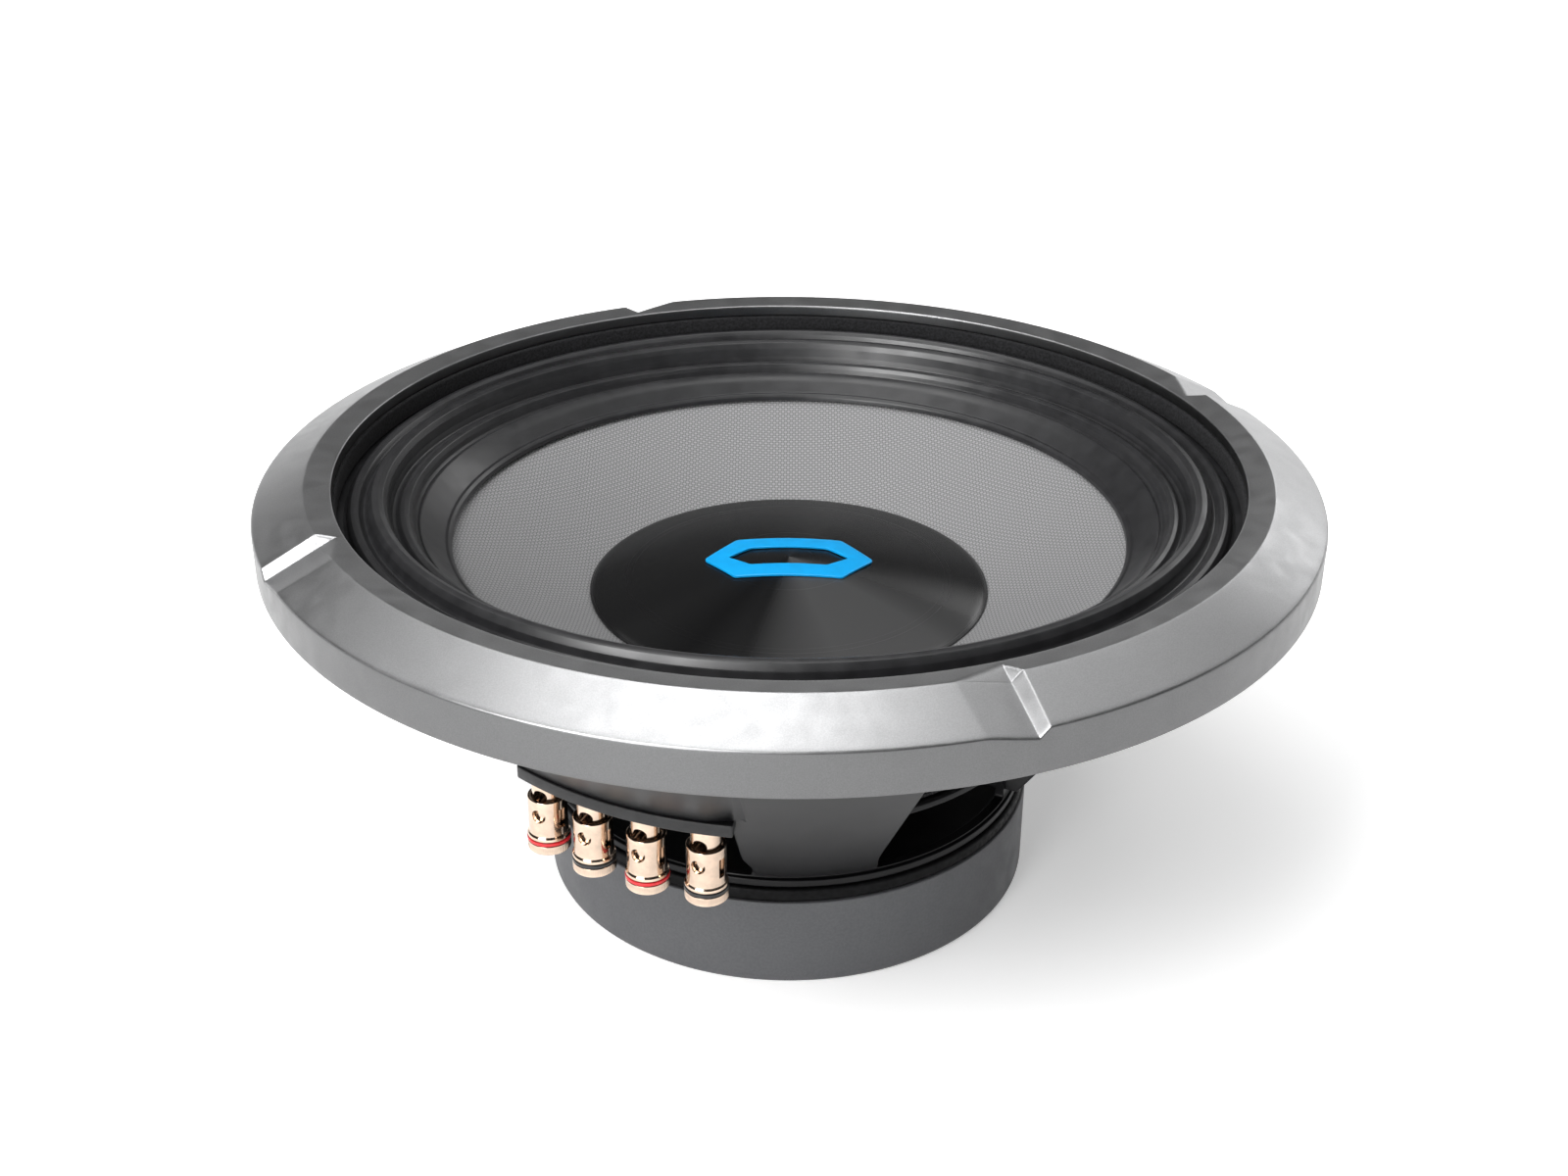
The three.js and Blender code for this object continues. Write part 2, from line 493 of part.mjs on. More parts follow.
for (const azimuth of plateScrewAzimuths) {
  const [x, y] = polar(SCREW_CIRCLE, azimuth, 0);
  terminalPlate = terminalPlate.subtract(rod(2, PLATE_BOTTOM - 1, PLATE_TOP + 1, x, y, 8));
}
piece('terminal_plate', terminalPlate, 'plastic');
plateScrewAzimuths.forEach((azimuth, i) => {
  screw(`terminal_plate_screw_${i + 1}`, polar(SCREW_CIRCLE, azimuth, 0), PLATE_TOP + GAP, 3, 2, 1.5, 9);
});

// ---------------------------------------------------------------- terminals
// A post through the plate, held by a nut over a solder lug. A sleeve slides on the post,
// pushed down by a spring in the post's bore, and pinches a bare wire in the cross hole.
const POST_RADIUS = 4.45;
const STUD_RADIUS = 2.4;
const POST_END = 58.6;
const SPRING_BORE = 2.7;
const SPRING_BORE_TOP = 65.6;
const SLEEVE_BORE = POST_RADIUS + GAP;
const SLEEVE_RADIUS = 5.8;
const SLEEVE_FLOOR = 52;
const KNOB_RADIUS = 6.4;
const KNOB_TOP = 55.4;
const GROOVE = [52.4, 54];
const GROOVE_RADIUS = 5.6;

// A cross hole through a terminal at the origin, level, along the wire-hole azimuth.
function crossHole(radius, height) {
  const geometry = new THREE.CylinderGeometry(radius, radius, 30, 8).rotateZ(Math.PI / 2);
  return solid(geometry.rotateZ(radians(WIRE_HOLE_AZIMUTH)).translate(0, 0, height));
}

terminalAzimuths.forEach((azimuth, i) => {
  const number = i + 1;
  const terminal = new THREE.Group();
  terminal.position.set(...polar(TERMINAL_CIRCLE, azimuth, 0));
  part.add(terminal);

  const post = turned([
    [0, SPRING_BORE_TOP], [SPRING_BORE, SPRING_BORE_TOP], [SPRING_BORE, POST_END], [POST_RADIUS, POST_END],
    [POST_RADIUS, PLATE_BOTTOM - GAP], [STUD_RADIUS, PLATE_BOTTOM - GAP], [STUD_RADIUS, 87.4],
    [STUD_RADIUS - 0.5, 88], [0, 88],
  ], SMALL_SEGMENTS);
  piece(`terminal_post_${number}`, post.subtract(crossHole(2.2, WIRE_HOLE_HEIGHT)), 'gold', terminal);

  const sleeve = turned([
    [0, TERMINAL_BOTTOM], [KNOB_RADIUS - 1.2, TERMINAL_BOTTOM], [KNOB_RADIUS - 0.1, TERMINAL_BOTTOM + 1],
    [KNOB_RADIUS, GROOVE[0]], [GROOVE_RADIUS, GROOVE[0]], [GROOVE_RADIUS, GROOVE[1]],
    [KNOB_RADIUS, GROOVE[1]], [KNOB_RADIUS, KNOB_TOP - 0.8], [SLEEVE_RADIUS, KNOB_TOP],
    [SLEEVE_RADIUS, SLEEVE_TOP], [SLEEVE_BORE, SLEEVE_TOP], [SLEEVE_BORE, SLEEVE_FLOOR], [0, SLEEVE_FLOOR],
  ], SMALL_SEGMENTS);
  const sleeveHole = crossHole(2.2, WIRE_HOLE_HEIGHT - PRESS_TRAVEL);
  piece(`push_sleeve_${number}`, sleeve.subtract(sleeveHole), 'gold', terminal);
  const bandFrom = [GROOVE_RADIUS + GAP, GROOVE[0] + GAP];
  const bandTo = [KNOB_RADIUS + 0.1, GROOVE[1] - GAP];
  const colourBand = band(bandFrom[0], bandTo[0], bandFrom[1], bandTo[1], SMALL_SEGMENTS);
  piece(`colour_band_${number}`, colourBand, i % 2 ? 'black' : 'red', terminal);
  const spring = band(1.6, 2.3, SLEEVE_FLOOR + GAP, SPRING_BORE_TOP - GAP, 8);
  piece(`terminal_spring_${number}`, spring, 'zinc', terminal);

  // The lug lies on the plate and points at the speaker's axis.
  const lugTop = PLATE_TOP + GAP + 0.8;
  const lugOutline = [
    [4.2, -3.4], [4.2, 3.4], [-6, 3.4], [-9, 2.2], [-15.5, 2.2], [-15.5, -2.2], [-9, -2.2], [-6, -3.4],
  ];
  const lug = prism(lugOutline, PLATE_TOP + GAP, lugTop)
    .subtract(rod(STUD_RADIUS + 2 * GAP, PLATE_TOP - 1, lugTop + 1, 0, 0, 8))
    .subtract(rod(1, PLATE_TOP - 1, lugTop + 1, -13.2, 0, 8));
  piece(`solder_lug_${number}`, lug, 'gold', terminal).rotation.z = radians(azimuth);

  const nutOutline = Array.from({ length: 6 }, (_, k) => polar(4.6, k * 60, 0).slice(0, 2));
  const nut = prism(nutOutline, lugTop + GAP, lugTop + GAP + 3.4)
    .subtract(rod(STUD_RADIUS + 2 * GAP, lugTop, lugTop + 5, 0, 0, 8));
  piece(`terminal_nut_${number}`, nut, 'zinc', terminal);

  // A woven lead from the lug's inner end, sagging, then up to the back of the cone.
  const LEAD_RADIUS = 0.9;
  const spread = 0.55;           // the leads draw together towards the cone
  const leadAzimuth = (share) => TERMINAL_MIDDLE_AZIMUTH
    + (azimuth - TERMINAL_MIDDLE_AZIMUTH) * (1 + spread * share);
  const leadStops = [
    [90.5, lugTop + GAP + LEAD_RADIUS, 0], [84, 80.6, 0.2], [74, 75.6, 0.4],
    [62, 74.4, 0.6], [51, 78.4, 0.8], [44, 84.6, 1],
  ];
  const route = new THREE.CatmullRomCurve3(leadStops.map(([radius, height, share]) =>
    new THREE.Vector3(...polar(radius, leadAzimuth(share), height))));
  const section = new THREE.Shape(Array.from({ length: 6 }, (_, k) =>
    new THREE.Vector2(...polar(LEAD_RADIUS, k * 60, 0).slice(0, 2))));
  const lead = new THREE.ExtrudeGeometry(section, { steps: 14, extrudePath: route, bevelEnabled: false });
  piece(`tinsel_lead_${number}`, solid(lead), 'copper');
});

export default part;
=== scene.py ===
import math

import bmesh
import bpy
from mathutils import Matrix, Vector


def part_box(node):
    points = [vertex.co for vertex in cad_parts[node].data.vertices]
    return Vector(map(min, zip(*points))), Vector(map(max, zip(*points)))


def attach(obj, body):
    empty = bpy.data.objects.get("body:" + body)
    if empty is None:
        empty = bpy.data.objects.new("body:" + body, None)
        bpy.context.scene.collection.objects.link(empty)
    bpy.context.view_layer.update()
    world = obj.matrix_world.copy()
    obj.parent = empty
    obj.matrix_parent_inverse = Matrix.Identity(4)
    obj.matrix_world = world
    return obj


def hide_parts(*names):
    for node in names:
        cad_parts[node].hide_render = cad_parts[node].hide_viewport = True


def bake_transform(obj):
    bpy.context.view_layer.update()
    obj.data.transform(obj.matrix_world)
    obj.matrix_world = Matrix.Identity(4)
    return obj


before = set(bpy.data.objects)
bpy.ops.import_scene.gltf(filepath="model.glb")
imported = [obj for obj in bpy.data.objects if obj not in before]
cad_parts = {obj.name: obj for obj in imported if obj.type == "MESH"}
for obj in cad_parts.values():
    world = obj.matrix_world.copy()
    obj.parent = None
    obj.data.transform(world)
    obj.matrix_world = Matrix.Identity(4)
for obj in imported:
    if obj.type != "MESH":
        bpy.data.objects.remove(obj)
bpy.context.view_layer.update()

# A twelve-inch car subwoofer, standing on its magnet. Shapes are worked out in millimetres as
# (radius, height) profiles and azimuths in degrees, anticlockwise from +X seen from above.
MM = 0.001
FRAME = "frame"
CONE_BODY = "cone assembly"

SEGMENTS = 256                    # round a large ring
FINE_SEGMENTS = 96                # round the coil and the pole
TERMINAL_SEGMENTS = 48
GAP = 0.3                         # between two pieces that sit on each other

CAMERA_PLACE = (0, -0.5664, 0.3874)   # metres
CAMERA_TILT = 27.26               # degrees below level
CAMERA_YAW = 0.15
CAMERA_ROLL = 0.37
CAMERA_LENS = 45.65

# ---- driving dimensions, as the CAD has them


def low(node):
    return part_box(node)[0] / MM


def high(node):
    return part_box(node)[1] / MM


TRIM_RADIUS = high("trim_ring").x
TRIM_BOTTOM = low("trim_ring").z
TRIM_TOP = high("trim_ring").z
CREASE_HEIGHT = TRIM_BOTTOM + 13.2
CREST_RADIUS = TRIM_RADIUS - 16
TRIM_INNER_RADIUS = TRIM_RADIUS - 23.9
TRIM_INNER_HEIGHT = TRIM_TOP - 1
NOTCHES = [(21.5, -1), (113.2, 1), (205.6, -1), (292.2, 1)]   # azimuth, and the side of the step
NOTCH_DEPTH = 2.8
NOTCH_GENTLE_WIDTH = 4.8          # degrees at the crease
NOTCH_STEEP_WIDTH = 1.0

FLANGE_RADIUS = 159.9
FLANGE_BOTTOM = 122.2
FLANGE_TOP = 124.8
SEAT_TOP = 130.0
SEAT_BORE = 131.6
HOLE_COUNT = 8
HOLE_CIRCLE = 152.5

BASE_BOTTOM = low("basket").z
BASE_TOP = BASE_BOTTOM + 2.6
BASE_RADIUS = 77.6
BASE_BORE = 29.0
CUP_RADIUS = 76.4
LEDGE_TOP = 60.0
ARM_COUNT = 5
FIRST_ARM = 276.5
ARM_HALF_WIDTH = 12.0
ARM_FOOT = (80.5, 40.5)
ARM_HEAD = (137.0, 116.0)
ARM_REACH = 3.0                   # degrees that the first arm reaches towards the terminals
BRIDGE_AZIMUTHS = (214.0, 267.0)

BOOT_RADIUS = high("magnet_boot").x
BOOT_HEIGHT = high("magnet_boot").z
TOP_PLATE_TOP = high("top_plate").z

CAP_RIM = (63.3, 96.7)
CAP_RISE = 8.9
CONE_LINE = [(25.7, 77.0), (44.0, 87.3), CAP_RIM, (86.85, 107.95), (110.4, 119.2)]
CONE_THICKNESS = 1.1

TERMINAL_CIRCLE = 104.4
TERMINAL_MIDDLE = 242.6
TERMINAL_PITCH = 9.9
TERMINAL_COUNT = 4
WIRE_HOLE_AZIMUTH = 247.0
WIRE_HOLE_HEIGHT = 68.4
SLOT_AZIMUTH = 322.0              # a sleeve's sight slot
PRESS_TRAVEL = 6.0
PLATE_BOTTOM = low("terminal_plate").z
PLATE_TOP = high("terminal_plate").z
PLATE_RADIUS = 113.2
PLATE_AZIMUTHS = (223.3, 262.45)
SCREW_CIRCLE = 94.5
BASE_SCREW_CIRCLE = 52.0
BASE_SCREW_HOLE = 2.9             # a hole's radius
PLATE_SCREW_HOLE = 2.0
POST_HOLE = 3.0
WIRE_HOLE = 2.2

ARMS = [FIRST_ARM + i * 360 / ARM_COUNT for i in range(ARM_COUNT)]
HALF_GAP = 180 / ARM_COUNT
GAPS = [azimuth + HALF_GAP for azimuth in ARMS]
TERMINALS = [TERMINAL_MIDDLE + (i - 1.5) * TERMINAL_PITCH for i in range(TERMINAL_COUNT)]
PLATE_SCREWS = (TERMINAL_MIDDLE - TERMINAL_PITCH, TERMINAL_MIDDLE + TERMINAL_PITCH)


# ---- camera
def make_camera():
    data = bpy.data.cameras.new("camera")
    data.lens = CAMERA_LENS
    data.sensor_width = 36
    data.clip_start = 0.01
    camera = bpy.data.objects.new("camera", data)
    bpy.context.scene.collection.objects.link(camera)
    yaw = Matrix.Rotation(math.radians(CAMERA_YAW), 4, "Z")
    pitch = Matrix.Rotation(math.radians(90 - CAMERA_TILT), 4, "X")
    roll = Matrix.Rotation(math.radians(CAMERA_ROLL), 4, "Z")
    camera.matrix_world = Matrix.Translation(CAMERA_PLACE) @ yaw @ pitch @ roll
    bpy.context.scene.camera = camera


# ---- material nodes
class Nodes:
    """Short calls for the nodes of a tree."""

    def __init__(self, tree):
        self.tree = tree

    def feed(self, socket, value):
        """Links a node's output to the socket, or sets the socket to a plain value."""
        if isinstance(value, bpy.types.NodeSocket):
            self.tree.links.new(value, socket)
        else:
            socket.default_value = value

    def node(self, kind, settings=None, **inputs):
        """A new node. Its inputs are given by name, or as i0, i1 and so on by place."""
        made = self.tree.nodes.new(kind)
        for key, value in (settings or {}).items():
            setattr(made, key, value)
        for key, value in inputs.items():
            by_place = key[0] == "i" and key[1:].isdigit()
            self.feed(made.inputs[int(key[1:]) if by_place else key], value)
        return made

    def math(self, operation, a, b=0.0):
        return self.node("ShaderNodeMath", {"operation": operation}, i0=a, i1=b).outputs[0]

    def span(self, value, start, end, to_start=0.0, to_end=1.0, blend="LINEAR"):
        made = self.node("ShaderNodeMapRange", {"interpolation_type": blend}, Value=value)
        for key, number in zip(("From Min", "From Max", "To Min", "To Max"), (start, end, to_start, to_end)):
            made.inputs[key].default_value = number
        return made.outputs["Result"]


class Shader(Nodes):
    """A material with a Principled shader, and short calls for what feeds it."""

    def __init__(self, name, colour=(1, 1, 1), roughness=0.5, metallic=0.0, **inputs):
        self.material = bpy.data.materials.new(name)
        self.material.use_nodes = True
        super().__init__(self.material.node_tree)
        self.principled = self.tree.nodes["Principled BSDF"]
        self.colour = colour
        self.put("Base Color", (*colour, 1))
        self.put("Roughness", roughness)
        self.put("Metallic", metallic)
        for key, value in inputs.items():
            self.put(key.replace("_", " "), value)

    def put(self, name, value):
        self.feed(self.principled.inputs[name], value)

    def place(self, stretch=(1, 1, 1)):
        """Places on the object in metres, stretched along its axes."""
        coordinates = self.node("ShaderNodeTexCoord").outputs["Object"]
        return self.node("ShaderNodeMapping", Vector=coordinates, Scale=stretch).outputs["Vector"]

    def noise(self, size, detail=3.0, stretch=(1, 1, 1)):
        """Noise whose grains are about size millimetres across."""
        return self.node(
            "ShaderNodeTexNoise", Vector=self.place(stretch), Scale=1 / (size * MM), Detail=detail
        ).outputs["Fac"]

    def mix(self, factor, first, second):
        first, second = (
            colour if isinstance(colour, bpy.types.NodeSocket) else (*colour, 1) for colour in (first, second)
        )
        made = self.node("ShaderNodeMix", {"data_type": "RGBA"}, i0=factor, i6=first, i7=second)
        return made.outputs[2]

    def bump(self, height, strength, depth):
        """Bump of a height from 0 to 1 that stands for depth millimetres."""
        made = self.node("ShaderNodeBump", Strength=strength, Distance=depth * MM, Height=height)
        self.put("Normal", made.outputs["Normal"])

    def mottle(self, size, darker, lighter, detail=3.0):
        """The base colour varies between darker and lighter shares of itself."""
        grain = self.span(self.noise(size, detail), 0.35, 0.65)
        first = [min(1.0, part * darker) for part in self.colour]
        second = [min(1.0, part * lighter) for part in self.colour]
        colour = self.mix(grain, first, second)
        self.put("Base Color", colour)
        return colour

    def vary_roughness(self, size, least, most):
        self.put("Roughness", self.span(self.noise(size), 0.35, 0.65, least, most))

    def polar_place(self):
        """The radius in metres and the turn in radians about the speaker's axis."""
        parts = self.node("ShaderNodeSeparateXYZ", Vector=self.place())
        x, y = parts.outputs[0], parts.outputs[1]
        squares = self.math("ADD", self.math("MULTIPLY", x, x), self.math("MULTIPLY", y, y))
        return self.math("SQRT", squares), self.math("ARCTAN2", y, x)


def lighter_edges(shader, amount, edge_colour):
    """Lighter colour along convex edges."""
    geometry = shader.node("ShaderNodeNewGeometry").outputs["Pointiness"]
    edge = shader.span(geometry, 0.51, 0.56, 0.0, amount)
    base = shader.principled.inputs["Base Color"]
    source = base.links[0].from_socket if base.links else shader.colour
    shader.put("Base Color", shader.mix(edge, source, edge_colour))


# ---- the materials
def varied(name, colour, roughness, metallic=0.0, mottle=None, grain=None, stretch=(1, 1, 1), **inputs):
    """A material that varies a little from place to place. roughness is one number, or the size of its
    patches, its least and its most. mottle is the size of the colour's patches, and the darkest and
    lightest share of the colour. grain is the size, detail, strength and depth of a bump."""
    shader = Shader(name, colour, metallic=metallic, **inputs)
    shader.mottle(*mottle)
    if isinstance(roughness, tuple):
        shader.vary_roughness(*roughness)
    else:
        shader.put("Roughness", roughness)
    if grain:
        size, detail, strength, depth = grain
        shader.bump(shader.noise(size, detail, stretch), strength, depth)
    return shader


def silver():
    shader = Shader("trim_silver", (0.49, 0.492, 0.498), metallic=1.0)
    paint = shader.mottle(0.35, 0.92, 1.07, detail=4.0)
    normal = shader.node("ShaderNodeNewGeometry").outputs["True Normal"]
    up = shader.node("ShaderNodeSeparateXYZ", Vector=normal).outputs[2]
    shaded_side = shader.mix(0.73, paint, (0, 0, 0))         # painted shade: the upright side is darker, standing in for the dimmer light it reflects
    shader.put("Base Color", shader.mix(shader.span(up, 0.3, 0.8), shaded_side, paint))
    shader.vary_roughness(6.0, 0.34, 0.4)
    shader.bump(shader.noise(0.25, 2.0), 0.12, 0.02)
    return shader.material


def satin_black():
    shader = varied(
        "plate_black", (0.003, 0.003, 0.0033), (1.5, 0.35, 0.6), mottle=(2.0, 0.6, 1.6),
        grain=(0.6, 3.0, 0.3, 0.04), Specular_IOR_Level=0.08,
    )
    lighter_edges(shader, 0.4, (0.02, 0.02, 0.021))
    return shader.material


def weave(shader, pitch):
    """A plain weave of threads along X and Y: its height, and which thread is on top."""
    parts = shader.node("ShaderNodeSeparateXYZ", Vector=shader.place())
    turns = math.pi / (pitch * MM)
    across = shader.math("SINE", shader.math("MULTIPLY", parts.outputs[0], turns))
    down = shader.math("SINE", shader.math("MULTIPLY", parts.outputs[1], turns))
    over = shader.span(shader.math("MULTIPLY", across, down), -0.25, 0.25)
    warp = shader.math("ABSOLUTE", across)
    weft = shader.math("ABSOLUTE", down)
    mixed = shader.node("ShaderNodeMix", i0=over, i2=warp, i3=weft)
    return mixed.outputs[0], over


def cloth(name, pitch, hollow, dark, light, filled, strength, depth, **inputs):
    """A woven cloth: the colour of its hollows and of the threads that run each way."""
    shader = Shader(name, **inputs)
    height, over = weave(shader, pitch)
    thread = shader.mix(over, dark, light)
    # Painted shade: the hollows between the threads take the darker hollow colour.
    shader.put("Base Color", shader.mix(shader.span(height, 0.1, filled), hollow, thread))
    shader.bump(height, strength, depth)
    return shader.material


def cap_black():
    shader = Shader("cap_black", Anisotropic=0.9, IOR=1.55)
    shader.put("Anisotropic Rotation", 0.25)
    tangent = shader.node("ShaderNodeTangent", {"direction_type": "RADIAL", "axis": "Z"})
    shader.put("Tangent", tangent.outputs["Tangent"])
    radius, turn = shader.polar_place()
    across = shader.node("ShaderNodeCombineXYZ", X=radius).outputs[0]
    pitch = 0.9 * MM
    turning = shader.node("ShaderNodeTexNoise", Vector=across, Scale=1 / pitch, Detail=4.0)
    grooves = turning.outputs["Fac"]
    shader.put("Roughness", shader.span(grooves, 0.3, 0.7, 0.24, 0.28))
    # Round the cap the shine is duller about one turn, and about another the colour is lighter: a painted
    # highlight.
    dull, highlight_turn = -1.98, -1.0
    from_dull = shader.math("ABSOLUTE", shader.math("SUBTRACT", turn, dull))
    shader.put("Specular IOR Level", shader.span(from_dull, 0.15, 0.55, 0.1, 0.5))
    from_highlight = shader.math("ABSOLUTE", shader.math("SUBTRACT", turn, highlight_turn))
    shade = shader.mix(shader.span(from_highlight, 0.3, 0.8), (0.07, 0.07, 0.0705), (0.006, 0.006, 0.0063))
    shader.put("Base Color", shade)
    shader.bump(grooves, 0.03, 0.015)
    return shader.material


def copper(name, colour, pitch):
    """Copper wire: turns or braid every pitch millimetres up the piece."""
    shader = Shader(name, roughness=0.3, metallic=1.0)
    parts = shader.node("ShaderNodeSeparateXYZ", Vector=shader.place())
    turns = shader.math("SINE", shader.math("MULTIPLY", parts.outputs[2], math.tau / (pitch * MM)))
    dark = [part * 0.45 for part in colour]
    # Painted shade: the colour is darker in the grooves between the turns.
    shader.put("Base Color", shader.mix(shader.span(turns, -1, 0.2), dark, colour))
    shader.bump(turns, 0.3, 0.08)
    return shader.material


def braid():
    """Fine copper strands that cross on the slant."""
    shader = Shader("tinsel_copper", roughness=0.38, metallic=1.0)
    parts = shader.node("ShaderNodeSeparateXYZ", Vector=shader.place())
    x, y, z = parts.outputs
    step = math.tau / (0.7 * MM)
    lean = shader.math("MULTIPLY", shader.math("ADD", x, shader.math("ADD", y, z)), step)
    back = shader.math("MULTIPLY", shader.math("SUBTRACT", shader.math("ADD", x, y), z), step)
    crossed = shader.math("MULTIPLY", shader.math("SINE", lean), shader.math("SINE", back))
    over = shader.span(crossed, -0.6, 0.6)
    # Painted shade: the strands underneath are darker.
    shader.put("Base Color", shader.mix(over, (0.3, 0.13, 0.07), (0.82, 0.44, 0.26)))
    shader.bump(crossed, 0.6, 0.12)
    return shader.material


SILVER = silver()
BLACK_PAINT = varied(
    "basket_black", (0.004, 0.004, 0.0045), (14.0, 0.295, 0.31), mottle=(9.0, 0.8, 1.3),
    Specular_IOR_Level=0.2,
).material
PLATE_PAINT = satin_black()
FOAM = varied(
    "gasket_foam", (0.008, 0.008, 0.009), 0.95, mottle=(0.8, 0.5, 2.2), grain=(0.7, 4.0, 0.9, 0.3),
).material
RUBBER = varied(
    "surround_rubber", (0.018, 0.018, 0.0195), (10.0, 0.32, 0.41), mottle=(5.0, 0.85, 1.2),
    grain=(0.45, 3.0, 0.2, 0.03), Specular_IOR_Level=0.7,
).material
BOOT_RUBBER = varied(
    "boot_rubber", (0.077, 0.0784, 0.0834), (9.0, 0.45, 0.56), mottle=(0.8, 0.93, 1.07),
    grain=(0.5, 3.0, 0.3, 0.05), Specular_IOR_Level=0.35,
).material
CONE_CLOTH = cloth(
    "woven_cone", 1.0, (0.115, 0.115, 0.117), (0.28, 0.28, 0.284), (0.395, 0.395, 0.4),
    filled=0.75, strength=0.6, depth=0.12, roughness=0.55, Specular_IOR_Level=0.4,
)
COTTON = cloth(
    "spider_cotton", 0.9, (0.005, 0.005, 0.005), (0.014, 0.014, 0.015), (0.03, 0.03, 0.032),
    filled=0.7, strength=0.8, depth=0.2, roughness=0.85, Sheen_Weight=0.2,
)
CAP_BLACK = cap_black()
CYAN = varied(
    "badge_cyan", (0.0, 0.43, 0.95), 0.38, mottle=(4.0, 0.95, 1.04), grain=(0.6, 3.0, 0.1, 0.02),
).material
PLASTIC = varied(
    "terminal_plastic", (0.012, 0.012, 0.0125), (4.0, 0.36, 0.5), mottle=(3.0, 0.8, 1.25),
    grain=(0.5, 3.0, 0.35, 0.05), Specular_IOR_Level=0.3,
).material
GOLD = varied(
    "terminal_gold", (0.6, 0.465, 0.365), (3.0, 0.09, 0.2), 1.0, mottle=(2.5, 0.92, 1.06),
    grain=(0.12, 2.0, 0.08, 0.01), stretch=(0.02, 0.02, 1),
).material
RED, DARK = (
    varied(name, colour, 0.35, mottle=(1.5, 0.85, 1.1), grain=(0.4, 3.0, 0.15, 0.02)).material
    for name, colour in (("band_red", (0.62, 0.012, 0.018)), ("band_black", (0.01, 0.01, 0.011)))
)
STEEL = varied(
    "plated_steel", (0.52, 0.51, 0.47), (5.0, 0.24, 0.42), 1.0, mottle=(4.0, 0.82, 1.12),
    grain=(0.3, 3.0, 0.15, 0.02),
).material
FERRITE = varied(
    "ferrite", (0.035, 0.035, 0.038), 0.75, mottle=(1.2, 0.6, 1.6), grain=(0.8, 5.0, 0.6, 0.12),
).material
ALUMINIUM = varied(
    "former_aluminium", (0.6, 0.61, 0.62), 0.35, 1.0, mottle=(2.0, 0.9, 1.06),
    grain=(0.2, 2.0, 0.15, 0.02), stretch=(1, 1, 6),
).material
MESH_BLACK = varied(
    "black_mesh", (0.012, 0.012, 0.012), 0.5, 0.3, mottle=(0.8, 0.6, 1.8), grain=(0.4, 3.0, 0.4, 0.05),
).material
COIL_COPPER = copper("coil_copper", (0.62, 0.26, 0.12), 0.5)
TINSEL = braid()


# ---- shapes
def polar(radius, azimuth, height):
    """A place in metres from a radius, a height in millimetres and an azimuth in degrees."""
    turn = math.radians(azimuth)
    return Vector((radius * math.cos(turn), radius * math.sin(turn), height)) * MM


def rounded(points, fillet, closed=True, steps=5):
    """The line with each corner drawn as a curve; fillet is one size, or one for each corner."""
    count = len(points)
    sizes = fillet if isinstance(fillet, (list, tuple)) else [fillet] * count
    result = []
    for i, corner in enumerate(points):
        here = Vector(corner)
        if sizes[i] <= 0 or (not closed and i in (0, count - 1)):
            result.append(tuple(here))
            continue
        before = Vector(points[i - 1]) - here
        after = Vector(points[(i + 1) % count]) - here
        half = before.angle(after) / 2
        cut = min(sizes[i] / max(math.tan(half), 0.05), 0.48 * before.length, 0.48 * after.length)
        start = here + before.normalized() * cut
        end = here + after.normalized() * cut
        for k in range(steps + 1):
            t = k / steps
            result.append(tuple(start * (1 - t) ** 2 + here * (2 * t * (1 - t)) + end * t * t))
    return result


def spread(points, longest):
    """An open line with extra points, so that no stretch is longer than asked."""
    result = [tuple(points[0])]
    for first, second in zip(points, points[1:]):
        first, second = Vector(first), Vector(second)
        parts = max(1, math.ceil((second - first).length / longest))
        result += [tuple(first.lerp(second, k / parts)) for k in range(1, parts + 1)]
    return result


def offset(line, distance):
    """The line moved sideways, to the right of its direction for a positive distance."""
    result = []
    for i, here in enumerate(line):
        before = Vector(line[max(i - 1, 0)])
        after = Vector(line[min(i + 1, len(line) - 1)])
        run = (after - before).normalized()
        result.append((here[0] + run.y * distance, here[1] - run.x * distance))
    return result


def even_azimuths(count):
    return [360 * i / count for i in range(count)]


def mesh_object(name, verts, faces):
    """A closed mesh with clean faces that point outwards."""
    mesh = bpy.data.meshes.new(name)
    work = bmesh.new()
    made = [work.verts.new(place) for place in verts]
    for face in faces:
        corners = [made[i] for i in face]
        if len(set(corners)) == len(corners) and len(corners) > 2:
            work.faces.new(corners)
    bmesh.ops.remove_doubles(work, verts=work.verts, dist=1e-7)
    bmesh.ops.dissolve_degenerate(work, edges=work.edges, dist=1e-7)
    bmesh.ops.recalc_face_normals(work, faces=work.faces)
    work.to_mesh(mesh)
    work.free()
    made_object = bpy.data.objects.new(name, mesh)
    bpy.context.scene.collection.objects.link(made_object)
    return made_object


def loft_faces(rows, sections, closed=False):
    """The faces between closed sections of so many points each. The last section joins the first if
    closed is set, and both ends are filled in if it isn't."""
    count = rows * sections
    faces = [] if closed else [tuple(range(rows)), tuple(range(count - rows, count))]
    for i in range(sections if closed else sections - 1):
        for j in range(rows):
            here, there, across = i * rows, (i + 1) % sections * rows, (j + 1) % rows
            faces.append((here + j, here + across, there + across, there + j))
    return faces


def turned(name, profile, azimuths=None, warp=None):
    """A closed profile of (radius, height) turned about the axis. warp moves (radius, height, azimuth)."""
    azimuths = azimuths or even_azimuths(SEGMENTS)
    verts = []
    for azimuth in azimuths:
        for radius, height in profile:
            place = warp(radius, height, azimuth) if warp else (radius, height, azimuth)
            verts.append(polar(place[0], place[2], place[1]))
    return mesh_object(name, verts, loft_faces(len(profile), len(azimuths), closed=True))


